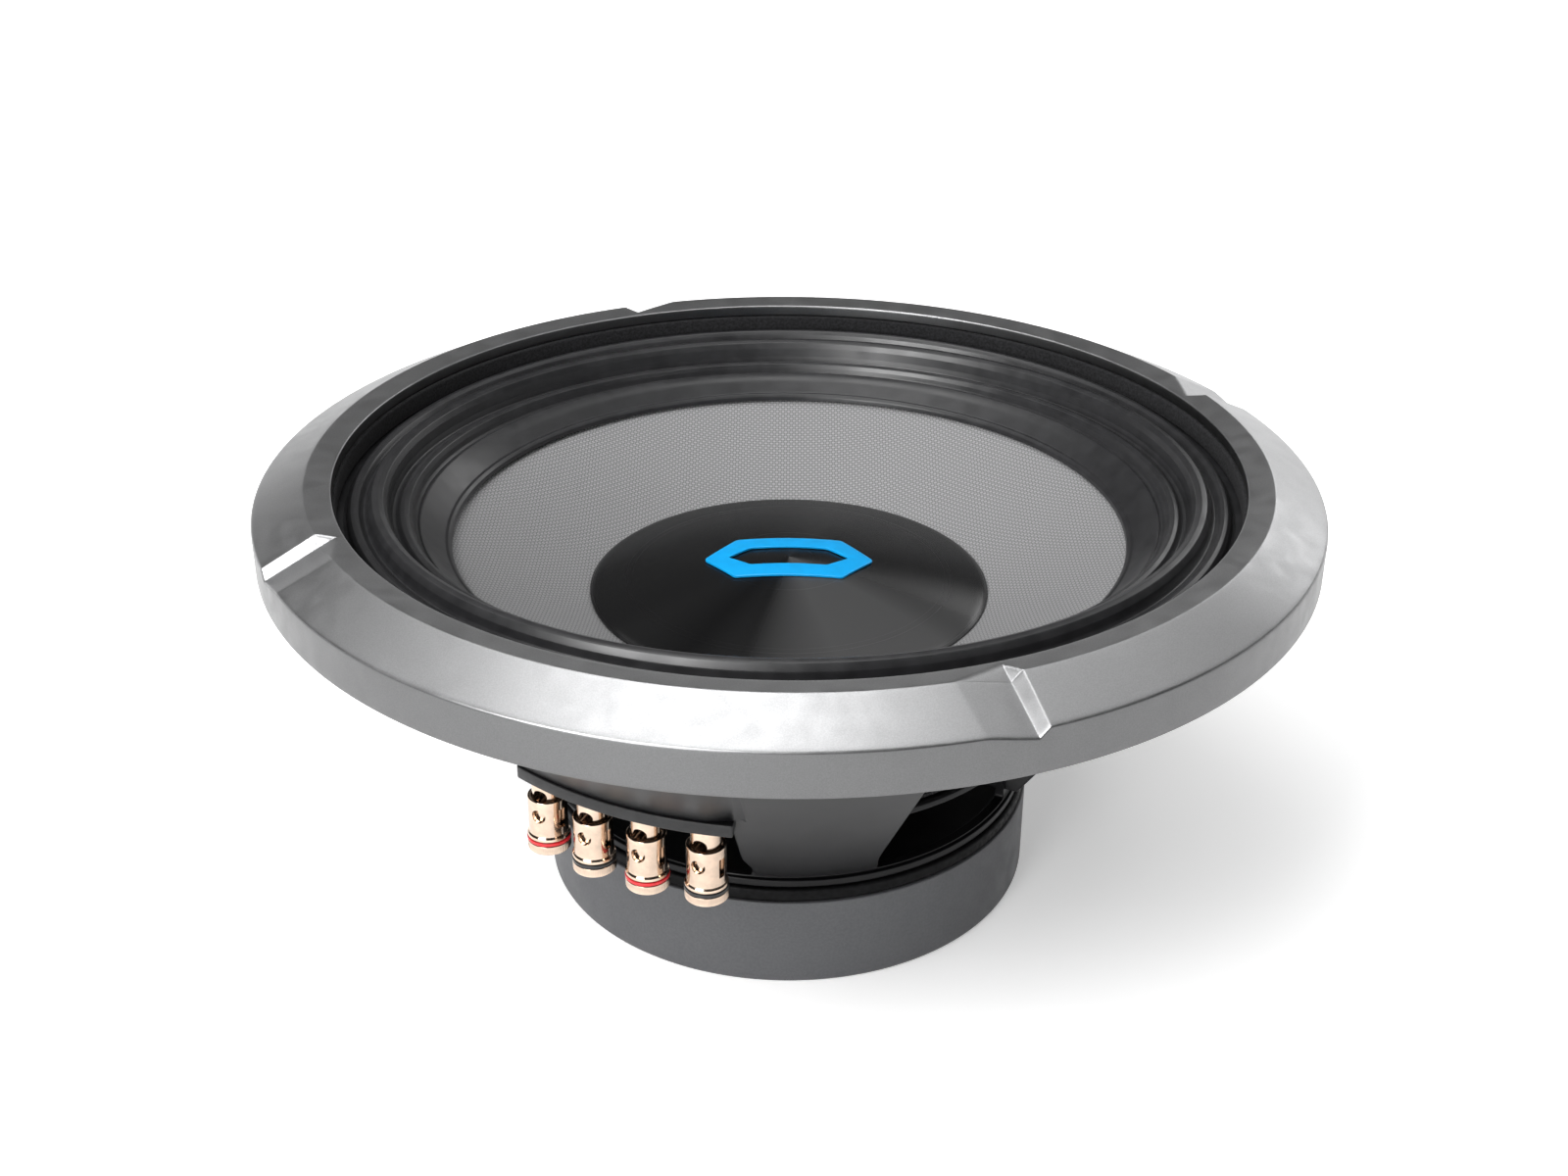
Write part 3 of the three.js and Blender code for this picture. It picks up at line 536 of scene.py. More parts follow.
def plain_ring(node, inner, outer, fillet, azimuths=None, steps=5):
    """A ring with a four-cornered section, as high as its CAD node."""
    bottom, top = low(node).z, high(node).z
    outline = [(inner, bottom), (outer, bottom), (outer, top), (inner, top)]
    return turned(node, rounded(outline, fillet, steps=steps), azimuths)


def prism(name, outline, bottom, top, edge=0.0):
    """An outline of (x, y) drawn upwards, with its edges rounded if edge is given."""
    verts = [Vector((x, y, height)) * MM for height in (bottom, top) for x, y in outline]
    made = mesh_object(name, verts, loft_faces(len(outline), 2))
    if edge:
        soften(made, edge)
    return made


def sector(inner, outer, start, end, steps=24):
    """The outline of a piece of a ring."""
    turns = [start + (end - start) * i / steps for i in range(steps + 1)]
    outline = [tuple(polar(outer, turn, 0).xy / MM) for turn in turns]
    return outline + [tuple(polar(inner, turn, 0).xy / MM) for turn in reversed(turns)]


def settle(piece):
    """Turns the piece's modifiers into mesh."""
    graph = bpy.context.evaluated_depsgraph_get()
    mesh = bpy.data.meshes.new_from_object(piece.evaluated_get(graph))
    piece.modifiers.clear()
    piece.data = mesh


def soften(piece, width, segments=3, angle=35):
    """Rounds the edges that turn by more than angle degrees."""
    modifier = piece.modifiers.new("edge", "BEVEL")
    modifier.width = width * MM
    modifier.segments = segments
    modifier.limit_method = "ANGLE"
    modifier.angle_limit = math.radians(angle)
    modifier.use_clamp_overlap = True
    settle(piece)


def combine(piece, others, operation="DIFFERENCE"):
    """Joins the others to the piece (UNION) or cuts them out of it (DIFFERENCE), and removes them."""
    for other in others:
        modifier = piece.modifiers.new("combine", "BOOLEAN")
        modifier.operation = operation
        modifier.solver = "MANIFOLD"
        modifier.object = other
    settle(piece)
    for other in others:
        bpy.data.objects.remove(other)


def cylinder(name, radius, start, end, sides=32):
    """A closed round bar between two places in metres."""
    axis = end - start
    turn = axis.to_track_quat("Z", "Y")
    verts = []
    for place in (start, end):
        for i in range(sides):
            angle = math.tau * i / sides
            verts.append(place + turn @ (Vector((math.cos(angle), math.sin(angle), 0)) * radius * MM))
    return mesh_object(name, verts, loft_faces(sides, 2))


def upright(name, radius, bottom, top, x=0.0, y=0.0, sides=32):
    return cylinder(name, radius, Vector((x, y, bottom)) * MM, Vector((x, y, top)) * MM, sides)


def drills(circle, azimuths, radius, bottom, top):
    """Upright bars on a circle, to cut holes with."""
    places = [polar(circle, azimuth, 0).xy / MM for azimuth in azimuths]
    return [upright("cut", radius, bottom, top, x, y) for x, y in places]


def tube(name, path, radius, sides=10):
    """A round tube along places in metres, closed at its ends."""
    verts = []
    normal = None
    for i, place in enumerate(path):
        run = (path[min(i + 1, len(path) - 1)] - path[max(i - 1, 0)]).normalized()
        if normal is None:
            normal = run.orthogonal().normalized()
        normal = (normal - run * normal.dot(run)).normalized()
        side = run.cross(normal)
        for k in range(sides):
            angle = math.tau * k / sides
            verts.append(place + (normal * math.cos(angle) + side * math.sin(angle)) * radius * MM)
    return mesh_object(name, verts, loft_faces(sides, len(path)))


def finish(piece, name, material, body=FRAME, angle=30):
    """Names, paints and shades a piece, sets it on its body, and hides the CAD node it stands for.
    Its slot is named after the material."""
    piece.name = name + "_fine"
    piece.data.name = piece.name
    piece.data.materials.clear()
    piece.data.materials.append(material)
    piece.data.shade_smooth()
    piece.data.set_sharp_from_angle(angle=math.radians(angle))
    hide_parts(name)
    if body:
        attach(piece, body)


def follow(piece, share):
    """Bakes the piece's place into its mesh and works out share(place), 0 on the frame and 1 on the body, for
    each point; the piece is not bent.
    """
    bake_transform(piece)
    values = [share(vertex.co) for vertex in piece.data.vertices]


def clamped(value):
    return min(1.0, max(0.0, value))


def eased(value):
    value = clamped(value)
    return value * value * (3 - 2 * value)


# ---- trim ring
def trim_ring():
    gentle_run = TRIM_RADIUS * math.radians(NOTCH_GENTLE_WIDTH)
    steep_run = TRIM_RADIUS * math.radians(NOTCH_STEEP_WIDTH)
    run_out = TRIM_INNER_RADIUS + 3.5
    slope = (TRIM_INNER_HEIGHT - CREASE_HEIGHT + NOTCH_DEPTH) / (TRIM_RADIUS - run_out)
    straight = 8.0                # degrees each side of a notch where lines keep their distance
    edge = 0.35                   # how far an edge of a notch is rounded

    def nearest(azimuth):
        turns = [((azimuth - at + 180) % 360 - 180, side) for at, side in NOTCHES]
        return min(turns, key=lambda turn: abs(turn[0]))

    def top_height(radius):
        if radius >= CREST_RADIUS:
            outward = (TRIM_RADIUS - radius) / (TRIM_RADIUS - CREST_RADIUS)
            return CREASE_HEIGHT + (TRIM_TOP - CREASE_HEIGHT) * outward
        inward = (CREST_RADIUS - radius) / (CREST_RADIUS - TRIM_INNER_RADIUS)
        return TRIM_TOP - inward * (TRIM_TOP - TRIM_INNER_HEIGHT)

    def dip(radius, turn, side):
        """How deep the notch cuts into the top at a place, in millimetres."""
        across = turn * side * math.radians(1) * TRIM_RADIUS
        rise = NOTCH_DEPTH / (steep_run if across > 0 else gentle_run)
        valley = math.sqrt(across * across + 0.04) - 0.2
        bottom = CREASE_HEIGHT - NOTCH_DEPTH + slope * (TRIM_RADIUS - radius)
        depth = top_height(radius) - bottom - rise * valley
        return (depth + math.sqrt(depth * depth + edge * edge * 0.2)) / 2

    def warp(radius, height, azimuth):
        turn, side = nearest(azimuth)
        if height > FLANGE_TOP + 1 and abs(turn) < straight:
            spread_out = TRIM_RADIUS / radius - 1
            hold = 1 - eased((abs(turn) - 5.6) / (straight - 5.6))
            outward = dip(radius, turn, side) * (1 - eased((abs(turn) - 6) / 2))
            share = eased((height - FLANGE_TOP - 1) / (top_height(radius) - FLANGE_TOP - 3))
            return radius, height - outward * share, azimuth + turn * spread_out * hold
        return radius, height, azimuth

    lip = SEAT_TOP + 8.2
    outline = [
        (TRIM_RADIUS, TRIM_BOTTOM), (TRIM_RADIUS, CREASE_HEIGHT), (CREST_RADIUS, TRIM_TOP),
        (TRIM_INNER_RADIUS, TRIM_INNER_HEIGHT), (TRIM_INNER_RADIUS, lip), (TRIM_INNER_RADIUS + 4.2, lip),
        (TRIM_INNER_RADIUS + 4.2, SEAT_TOP + 4.8), (FLANGE_RADIUS - 1.5, FLANGE_TOP + 3.6),
        (FLANGE_RADIUS + 0.3, FLANGE_TOP + 2.4), (FLANGE_RADIUS + 0.3, TRIM_BOTTOM),
    ]
    profile = rounded(outline, [0.6, 1.0, 1.4, 0.7, 0.3, 0.3, 0.3, 0.3, 0.3, 0.4])
    profile = spread([*profile, profile[0]], 1.2)[:-1]

    azimuths = set(even_azimuths(240))
    for at, side in NOTCHES:
        for k in range(-80, 81):
            azimuths.add((at + k * 0.1) % 360)
        for across in (-gentle_run, 0.0, steep_run):
            middle = at + side * math.degrees(across / TRIM_RADIUS)
            for k in range(-4, 5):
                azimuths.add((middle + k * 0.03) % 360)
    kept = []
    for azimuth in sorted(azimuths):
        if not kept or azimuth - kept[-1] > 0.012:
            kept.append(azimuth)
    ring = turned("trim_ring", profile, kept, warp)
    finish(ring, "trim_ring", SILVER, angle=50)


# ---- surround, cone, cap
SURROUND_TOP = [
    (141.0, 131.3), (136.6, 131.3), (135.6, 131.7), (135.1, 133.4), (134.2, 134.6), (133.0, 134.9),
    (131.9, 134.4), (131.1, 133.4), (130.3, 132.7), (129.6, 133.4), (129.0, 135.2), (127.7, 136.6),
    (126.0, 136.9), (124.4, 136.2), (123.4, 134.4), (122.8, 131.6), (122.1, 129.8), (121.2, 129.3),
    (120.4, 129.9), (119.7, 130.8), (118.4, 131.2), (117.1, 130.6), (116.3, 129.0), (115.8, 127.4),
    (115.2, 126.5), (114.6, 126.4), (114.2, 127.0), (113.6, 126.6), (106.9, 120.2), (106.2, 120.15),
    (105.2, 119.2), (105.0, 118.0),
]
SURROUND_UNDER = [
    (105.9, 117.8), (114.9, 125.1), (116.9, 128.3), (118.3, 130.0), (119.8, 129.3), (121.2, 128.2),
    (122.6, 128.9), (124.4, 134.5), (126.1, 135.7), (127.8, 134.8), (129.0, 132.5), (130.3, 131.6),
    (131.4, 132.3), (132.3, 133.4), (133.2, 133.7), (134.1, 133.0), (134.8, 130.4), (141.0, 130.4),
]
SURROUND_LEAN = 3.4               # the ridges stand this much higher than their mean on the -Y side


def surround():
    line = spread(rounded(SURROUND_TOP, 0.7, closed=False), 0.5)
    under = rounded(SURROUND_UNDER, 0.7, closed=False)

    def lean(radius, height, azimuth):
        share = eased((radius - 110) / 8) * (1 - eased((radius - 127) / 8))
        return radius, height - SURROUND_LEAN * share * math.sin(math.radians(azimuth)), azimuth

    piece = turned("surround", line + under, even_azimuths(320), lean)
    finish(piece, "surround", RUBBER, body=None, angle=60)
    outer, inner = 130.0 * MM, 112.0 * MM
    follow(piece, lambda place: eased((outer - place.xy.length) / (outer - inner)))


def gasket():
    outer = high("mounting_gasket").x
    piece = plain_ring("mounting_gasket", outer - 4.0, outer, 0.8)
    finish(piece, "mounting_gasket", FOAM, angle=50)


def cone():
    line = spread(rounded(CONE_LINE, 30.0, closed=False, steps=8), 3.0)
    under = offset(line, CONE_THICKNESS)[::-1]
    piece = turned("cone", line + under)
    finish(piece, "cone", CONE_CLOTH, CONE_BODY, angle=50)


def crown(radius):
    return CAP_RIM[1] + 1.3 + CAP_RISE * (1 - (radius / CAP_RIM[0]) ** 1.6)


def dust_cap():
    rim = CAP_RIM[0]
    radii = [0, 0.8, 2, 4, 7, *[10 + 2.5 * i for i in range(21)], 61.5]
    top = [(radius, crown(radius)) for radius in radii]
    edge = [(62.6, crown(62.5) - 0.15), (rim, crown(rim) - 0.5), (rim, crown(rim) - 1.0)]
    under = [(radius, height - 1.0) for radius, height in reversed(top)]
    piece = turned("dust_cap", top + edge + under)
    finish(piece, "dust_cap", CAP_BLACK, CONE_BODY, angle=50)


def badge():
    """A plain six-sided frame that follows the crown."""
    length, width, border = 54.0, 26.0, 7.0

    def six(half_length, half_width):
        return [
            (-half_length, 0), (-half_length / 1.6, -half_width), (half_length / 1.6, -half_width),
            (half_length, 0), (half_length / 1.6, half_width), (-half_length / 1.6, half_width),
        ]

    outer = six(length / 2, width / 2)
    inner = six(length / 2 - 1.1 * border, width / 2 - border)
    outer_line = spread([*rounded(outer, 2.0), rounded(outer, 2.0)[0]], 1.5)[:-1]
    inner_fine = spread([*rounded(inner, 1.0), rounded(inner, 1.0)[0]], 0.2)[:-1]

    def matching(place):
        """The place on the inner line that lies in the same direction."""
        angle = math.atan2(place[1], place[0])

        def apart(other):
            return abs((math.atan2(other[1], other[0]) - angle + math.pi) % math.tau - math.pi)

        return min(inner_fine, key=apart)

    inner_line = [matching(place) for place in outer_line]
    section = [(0.0, 0.0), (0.0, 0.55), (0.03, 0.66), (0.08, 0.7), (0.3, 0.7), (0.5, 0.7), (0.7, 0.7),
               (0.92, 0.7), (0.97, 0.66), (1.0, 0.55), (1.0, 0.0), (0.7, 0.0), (0.5, 0.0), (0.3, 0.0)]
    verts = []
    for out_place, in_place in zip(outer_line, inner_line):
        for share, lift in section:
            x = out_place[0] + (in_place[0] - out_place[0]) * share
            y = out_place[1] + (in_place[1] - out_place[1]) * share
            verts.append(Vector((x, y, crown(math.hypot(x, y)) + GAP + lift)) * MM)
    frame_piece = mesh_object("badge", verts, loft_faces(len(section), len(outer_line), closed=True))
    finish(frame_piece, "badge", CYAN, CONE_BODY, angle=50)


# ---- basket
def arm(azimuth):
    """One channel-shaped arm: a panel with a flange down each side, wider at both ends.
    The arm beside the terminals reaches further towards them above its foot."""
    stations = 28
    thickness, depth, rib = 3.4, 13.0, 2.6
    across_scale = 1.9                # about how many millimetres a degree is, for the rounding
    turns = [-ARM_HALF_WIDTH + 2 * ARM_HALF_WIDTH * i / 24 for i in range(25)]
    outline = [(turn, 0.0) for turn in turns]
    outline += [(ARM_HALF_WIDTH, depth), (ARM_HALF_WIDTH - rib, depth), (ARM_HALF_WIDTH - rib, thickness)]
    outline += [(turn, thickness) for turn in reversed(turns[4:-4])]
    outline += [(-ARM_HALF_WIDTH + rib, thickness), (-ARM_HALF_WIDTH + rib, depth), (-ARM_HALF_WIDTH, depth)]
    scaled = rounded([(turn * across_scale, inward) for turn, inward in outline], 1.3, steps=4)
    section = [(across / across_scale, inward) for across, inward in scaled]
    verts = []
    for i in range(stations + 1):
        t = i / stations
        radius = ARM_FOOT[0] + (ARM_HEAD[0] - ARM_FOOT[0]) * t
        height = ARM_FOOT[1] + (ARM_HEAD[1] - ARM_FOOT[1]) * t
        at_head, at_foot = eased((t - 0.8) / 0.2), eased((0.16 - t) / 0.16)
        flare = 1 + 0.16 * at_head ** 2 + 0.10 * at_foot ** 2
        reach = ARM_REACH * eased((height - ARM_FOOT[1]) / 12) if azimuth == FIRST_ARM else 0
        for turn, inward in section:
            aside = reach * eased(-turn / ARM_HALF_WIDTH * 1.4 - 0.4)
            verts.append(polar(radius - inward, azimuth + turn * flare - aside, height))
    return mesh_object("arm", verts, loft_faces(len(section), stations + 1))


def arm_radius(height):
    return ARM_FOOT[0] + (height - ARM_FOOT[1]) * (ARM_HEAD[0] - ARM_FOOT[0]) / (ARM_HEAD[1] - ARM_FOOT[1])


def basket():
    around = even_azimuths(180)
    base = turned("basket", rounded([
        (BASE_BORE, BASE_BOTTOM), (BASE_RADIUS, BASE_BOTTOM), (BASE_RADIUS, BASE_TOP), (CUP_RADIUS, BASE_TOP),
        (CUP_RADIUS, LEDGE_TOP - 2.4), (CUP_RADIUS + 4.8, LEDGE_TOP - 2.4), (CUP_RADIUS + 4.8, LEDGE_TOP),
        (CUP_RADIUS - 4.9, LEDGE_TOP), (CUP_RADIUS - 4.9, LEDGE_TOP - 2.4),
        (CUP_RADIUS - 2.8, LEDGE_TOP - 2.4), (CUP_RADIUS - 2.8, BASE_TOP), (BASE_BORE, BASE_TOP),
    ], [0.5, 0.6, 0.7, 0.6, 1.2, 0.6, 0.8, 0.6, 0.5, 0.8, 1.0, 0.5]), around)
    cuts = drills(BASE_SCREW_CIRCLE, GAPS, BASE_SCREW_HOLE, BASE_BOTTOM - 1, BASE_TOP + 1)
    window = HALF_GAP - ARM_HALF_WIDTH - 2
    for middle in GAPS:
        opening = sector(CUP_RADIUS - 6, CUP_RADIUS + 3, middle - window, middle + window)
        cuts.append(prism("cut", opening, BASE_TOP + 0.6, LEDGE_TOP - 3.4, edge=1.2))
    combine(base, cuts)

    head = turned("head", rounded([
        (ARM_HEAD[0] - 5.5, 108), (arm_radius(108) + 0.4, 108), ARM_HEAD, (140, FLANGE_BOTTOM),
        (FLANGE_RADIUS, FLANGE_BOTTOM), (FLANGE_RADIUS, FLANGE_TOP), (144.6, FLANGE_TOP), (142.9, SEAT_TOP),
        (SEAT_BORE, SEAT_TOP), (SEAT_BORE, SEAT_TOP - 2.6), (137.4, SEAT_TOP - 2.6), (137.4, FLANGE_BOTTOM),
        (ARM_HEAD[0] - 3.4, ARM_HEAD[1]),
    ], [0.05, 0.2, 6.0, 3.0, 0.7, 0.7, 0.8, 0.8, 0.7, 0.7, 1.0, 3.0, 3.0]), around)
    holes = drills(HOLE_CIRCLE, even_azimuths(HOLE_COUNT), 2.8, FLANGE_BOTTOM - 2, FLANGE_TOP + 2)
    combine(head, holes)

    bridge_top = PLATE_BOTTOM - GAP
    bridge = prism("bridge", sector(90, 97.8, *BRIDGE_AZIMUTHS, 60), bridge_top - 3.5, bridge_top, edge=0.5)
    screw_holes = drills(SCREW_CIRCLE, PLATE_SCREWS, PLATE_SCREW_HOLE, PLATE_BOTTOM - 10, PLATE_BOTTOM + 1)
    combine(bridge, screw_holes)

    foot, top = (PLATE_RADIUS - 0.5, PLATE_TOP + GAP), (arm_radius(109) + 1.2, 109.0)
    section = rounded([foot, top, (top[0] - 3, top[1]), (foot[0] - 3, foot[1])], 0.5, steps=3)
    first, last = BRIDGE_AZIMUTHS
    steps = 72
    verts = []
    for i in range(steps + 1):
        azimuth = first + (last - first) * i / steps
        sink = 3.4 * eased((azimuth - last + 9) / 9)     # the wall runs down into the arm's face
        for radius, height in section:
            verts.append(polar(radius - sink * (1 - (height - foot[1]) / 45), azimuth, height))
    wall = mesh_object("wall", verts, loft_faces(len(section), steps + 1))

    combine(base, [*[arm(azimuth) for azimuth in ARMS], head, bridge, wall], "UNION")
    finish(base, "basket", BLACK_PAINT, angle=32)


# ---- motor
def motor():
    hole, wall = 30.0, 1.5
    inner = BOOT_RADIUS - wall
    boot = turned("boot", rounded([
        (hole, 0), (BOOT_RADIUS, 0), (BOOT_RADIUS, BOOT_HEIGHT), (inner, BOOT_HEIGHT),
        (inner, wall), (hole, wall),
    ], [0.5, 2.2, 0.6, 0.5, 0.8, 0.5]), even_azimuths(320))
    finish(boot, "magnet_boot", BOOT_RUBBER, angle=50)

    plate_radius = high("top_plate").x
    plate_low = low("top_plate").z
    neck, step = BOOT_RADIUS - 1.9, BOOT_HEIGHT + 0.2   # the plate is narrower inside the boot
    plate = turned("plate", rounded([
        (27.5, plate_low), (neck, plate_low), (neck, step), (plate_radius, step),
        (plate_radius, TOP_PLATE_TOP), (27.5, TOP_PLATE_TOP),
    ], [0.5, 0.8, 0.2, 0.6, 1.0, 0.5]), even_azimuths(320))
    cuts = drills(BASE_SCREW_CIRCLE, GAPS, BASE_SCREW_HOLE, plate_low - 1, TOP_PLATE_TOP + 1)
    combine(plate, cuts)
    finish(plate, "top_plate", PLATE_PAINT, angle=40)

    bottom, top = low("back_plate_and_pole").z, high("back_plate_and_pole").z
    yoke = turned("yoke", rounded([
        (12.4, bottom), (76.4, bottom), (76.4, 9.5), (24.2, 9.5), (24.2, top - 1), (23.2, top),
        (10.5, top), (9.0, top - 3), (9.0, 5.3), (12.4, 5.3),
    ], [0.5, 0.8, 0.8, 0.6, 0.6, 0.5, 1.5, 2.0, 0.5, 0.3]), even_azimuths(160))
    finish(yoke, "back_plate_and_pole", STEEL, angle=40)

    magnet = plain_ring("ferrite_magnet", 40, 77.4, 0.9, even_azimuths(160))
    finish(magnet, "ferrite_magnet", FERRITE, angle=40)
    ring = plain_ring("shorting_ring", 29.5, 39.3, 0.5, even_azimuths(FINE_SEGMENTS))
    finish(ring, "shorting_ring", ALUMINIUM, angle=40)


def vent_screen():
    """A disc with a close pattern of small round holes."""
    bottom, top = low("vent_screen").z, high("vent_screen").z
    disc = plain_ring("vent_screen", 0, 12.1, [0, 0.25, 0.25, 0], even_azimuths(64), steps=3)
    pitch = 2.2
    cuts = []
    for row in range(-6, 7):
        for column in range(-6, 7):
            x = (column + (row % 2) / 2) * pitch
            y = row * pitch * math.sqrt(3) / 2
            if math.hypot(x, y) < 10.4:
                cuts.append(upright("cut", 0.75, bottom - 1, top + 1, x, y, 12))
    combine(disc, cuts)
    finish(disc, "vent_screen", MESH_BLACK, angle=40)


def coil_and_former():
    former = plain_ring("coil_former", 24.9, 25.3, 0.1, even_azimuths(FINE_SEGMENTS), steps=2)
    finish(former, "coil_former", ALUMINIUM, CONE_BODY)
    wire = 0.5
    for number, inner in ((1, 25.6), (2, 26.4)):
        bottom, top = low(f"voice_coil_{number}").z, high(f"voice_coil_{number}").z
        turns = int((top - bottom) / wire)
        step = (top - bottom) / turns
        outline = [(inner, top), (inner, bottom)]
        for k in range(turns):
            base = bottom + k * step
            for share, out in ((0.06, 0.38), (0.3, 0.48), (0.5, 0.5), (0.7, 0.48), (0.94, 0.38)):
                outline.append((inner + out, base + share * step))
        coil = turned("coil", outline, even_azimuths(64))
        finish(coil, f"voice_coil_{number}", COIL_COPPER, CONE_BODY, angle=60)


def spider():
    middle = LEDGE_TOP + 1.3
    outer, flat, start, end, inner = 79.0, 70.4, 66.5, 30.0, 25.7
    waves = 4
    line = [(outer, middle), (flat + 3, middle), (flat, middle)]
    count = 96
    for k in range(count + 1):
        t = k / count
        radius = start + (end - start) * t
        line.append((radius, middle - 2 * math.cos(t * waves * math.tau)))
    line += [(end - 2.2, middle - 0.4), (inner, middle)]
    under = offset(line, -0.8)[::-1]
    piece = turned("spider", line + under, even_azimuths(192))
    finish(piece, "spider", COTTON, body=None, angle=60)
    free, held = 70.0 * MM, 29.0 * MM
    follow(piece, lambda place: clamped((free - place.xy.length) / (free - held)))

    foot = middle + 0.3
    collar = turned("collar", rounded(
        [(25.6, foot), (29.0, foot), (26.4, foot + 4.2), (25.6, foot + 4.2)], [0.1, 0.3, 0.3, 0.1]
    ), even_azimuths(FINE_SEGMENTS))
    finish(collar, "spider_collar", MESH_BLACK, CONE_BODY, angle=50)


# ---- screws
def screw(name, place, surface, head, height, shank, length):
    """A pan-head screw with a cross recess, its shank going down from the surface."""
    top = surface + height
    profile = rounded([
        (0, surface - length), (shank, surface - length), (shank, surface), (head, surface),
        (head, surface + height * 0.55), (head * 0.62, top), (0, top),
    ], [0, 0.4, 0.1, 0.3, head * 0.25, head * 0.4, 0], steps=5)
    piece = turned("screw", profile, even_azimuths(40))
    slot = head * 0.15
    reach = head * 0.62
    arms = []
    for x, y in ((reach, slot), (slot, reach)):
        arms.append(prism("cut", [(-x, -y), (x, -y), (x, y), (-x, y)], surface + height * 0.4, top + 1))
    combine(piece, arms)
    piece.data.transform(Matrix.Translation(place * MM))
    finish(piece, name, STEEL, angle=35)


def screws():
    for i, azimuth in enumerate(GAPS):
        place = polar(BASE_SCREW_CIRCLE, azimuth, 0) / MM
        screw(f"basket_screw_{i + 1}", place, BASE_TOP + GAP, head=4.4, height=2.6, shank=2.5, length=8.0)
    for i, azimuth in enumerate(PLATE_SCREWS):
        place = polar(SCREW_CIRCLE, azimuth, 0) / MM
        name = f"terminal_plate_screw_{i + 1}"
        screw(name, place, PLATE_TOP + GAP, head=3.0, height=2.0, shank=1.5, length=9.0)


# ---- terminals
def terminal_plate():
    start, end = PLATE_AZIMUTHS
    steps = 60
    outline = sector(91, PLATE_RADIUS, start, end, steps)[5:]
    outline = [tuple(polar(105.5, start, 0).xy / MM), *outline]
    sizes = [0] * len(outline)
    sizes[0], sizes[1], sizes[steps - 4], sizes[steps - 3], sizes[-1] = 5.0, 5.0, 2.5, 1.5, 1.5
    plate = prism("plate", rounded(outline, sizes), PLATE_BOTTOM, PLATE_TOP, edge=0.5)
    cuts = drills(TERMINAL_CIRCLE, TERMINALS, POST_HOLE, PLATE_BOTTOM - 1, PLATE_TOP + 1)
    cuts += drills(SCREW_CIRCLE, PLATE_SCREWS, PLATE_SCREW_HOLE, PLATE_BOTTOM - 1, PLATE_TOP + 1)
    combine(plate, cuts)
    finish(plate, "terminal_plate", PLASTIC, angle=35)


def cross_hole(height):
    turn = math.radians(WIRE_HOLE_AZIMUTH)
    reach = Vector((math.cos(turn), math.sin(turn), 0)) * 15 * MM
    middle = Vector((0, 0, height * MM))
    return cylinder("cut", WIRE_HOLE, middle - reach, middle + reach, 40)


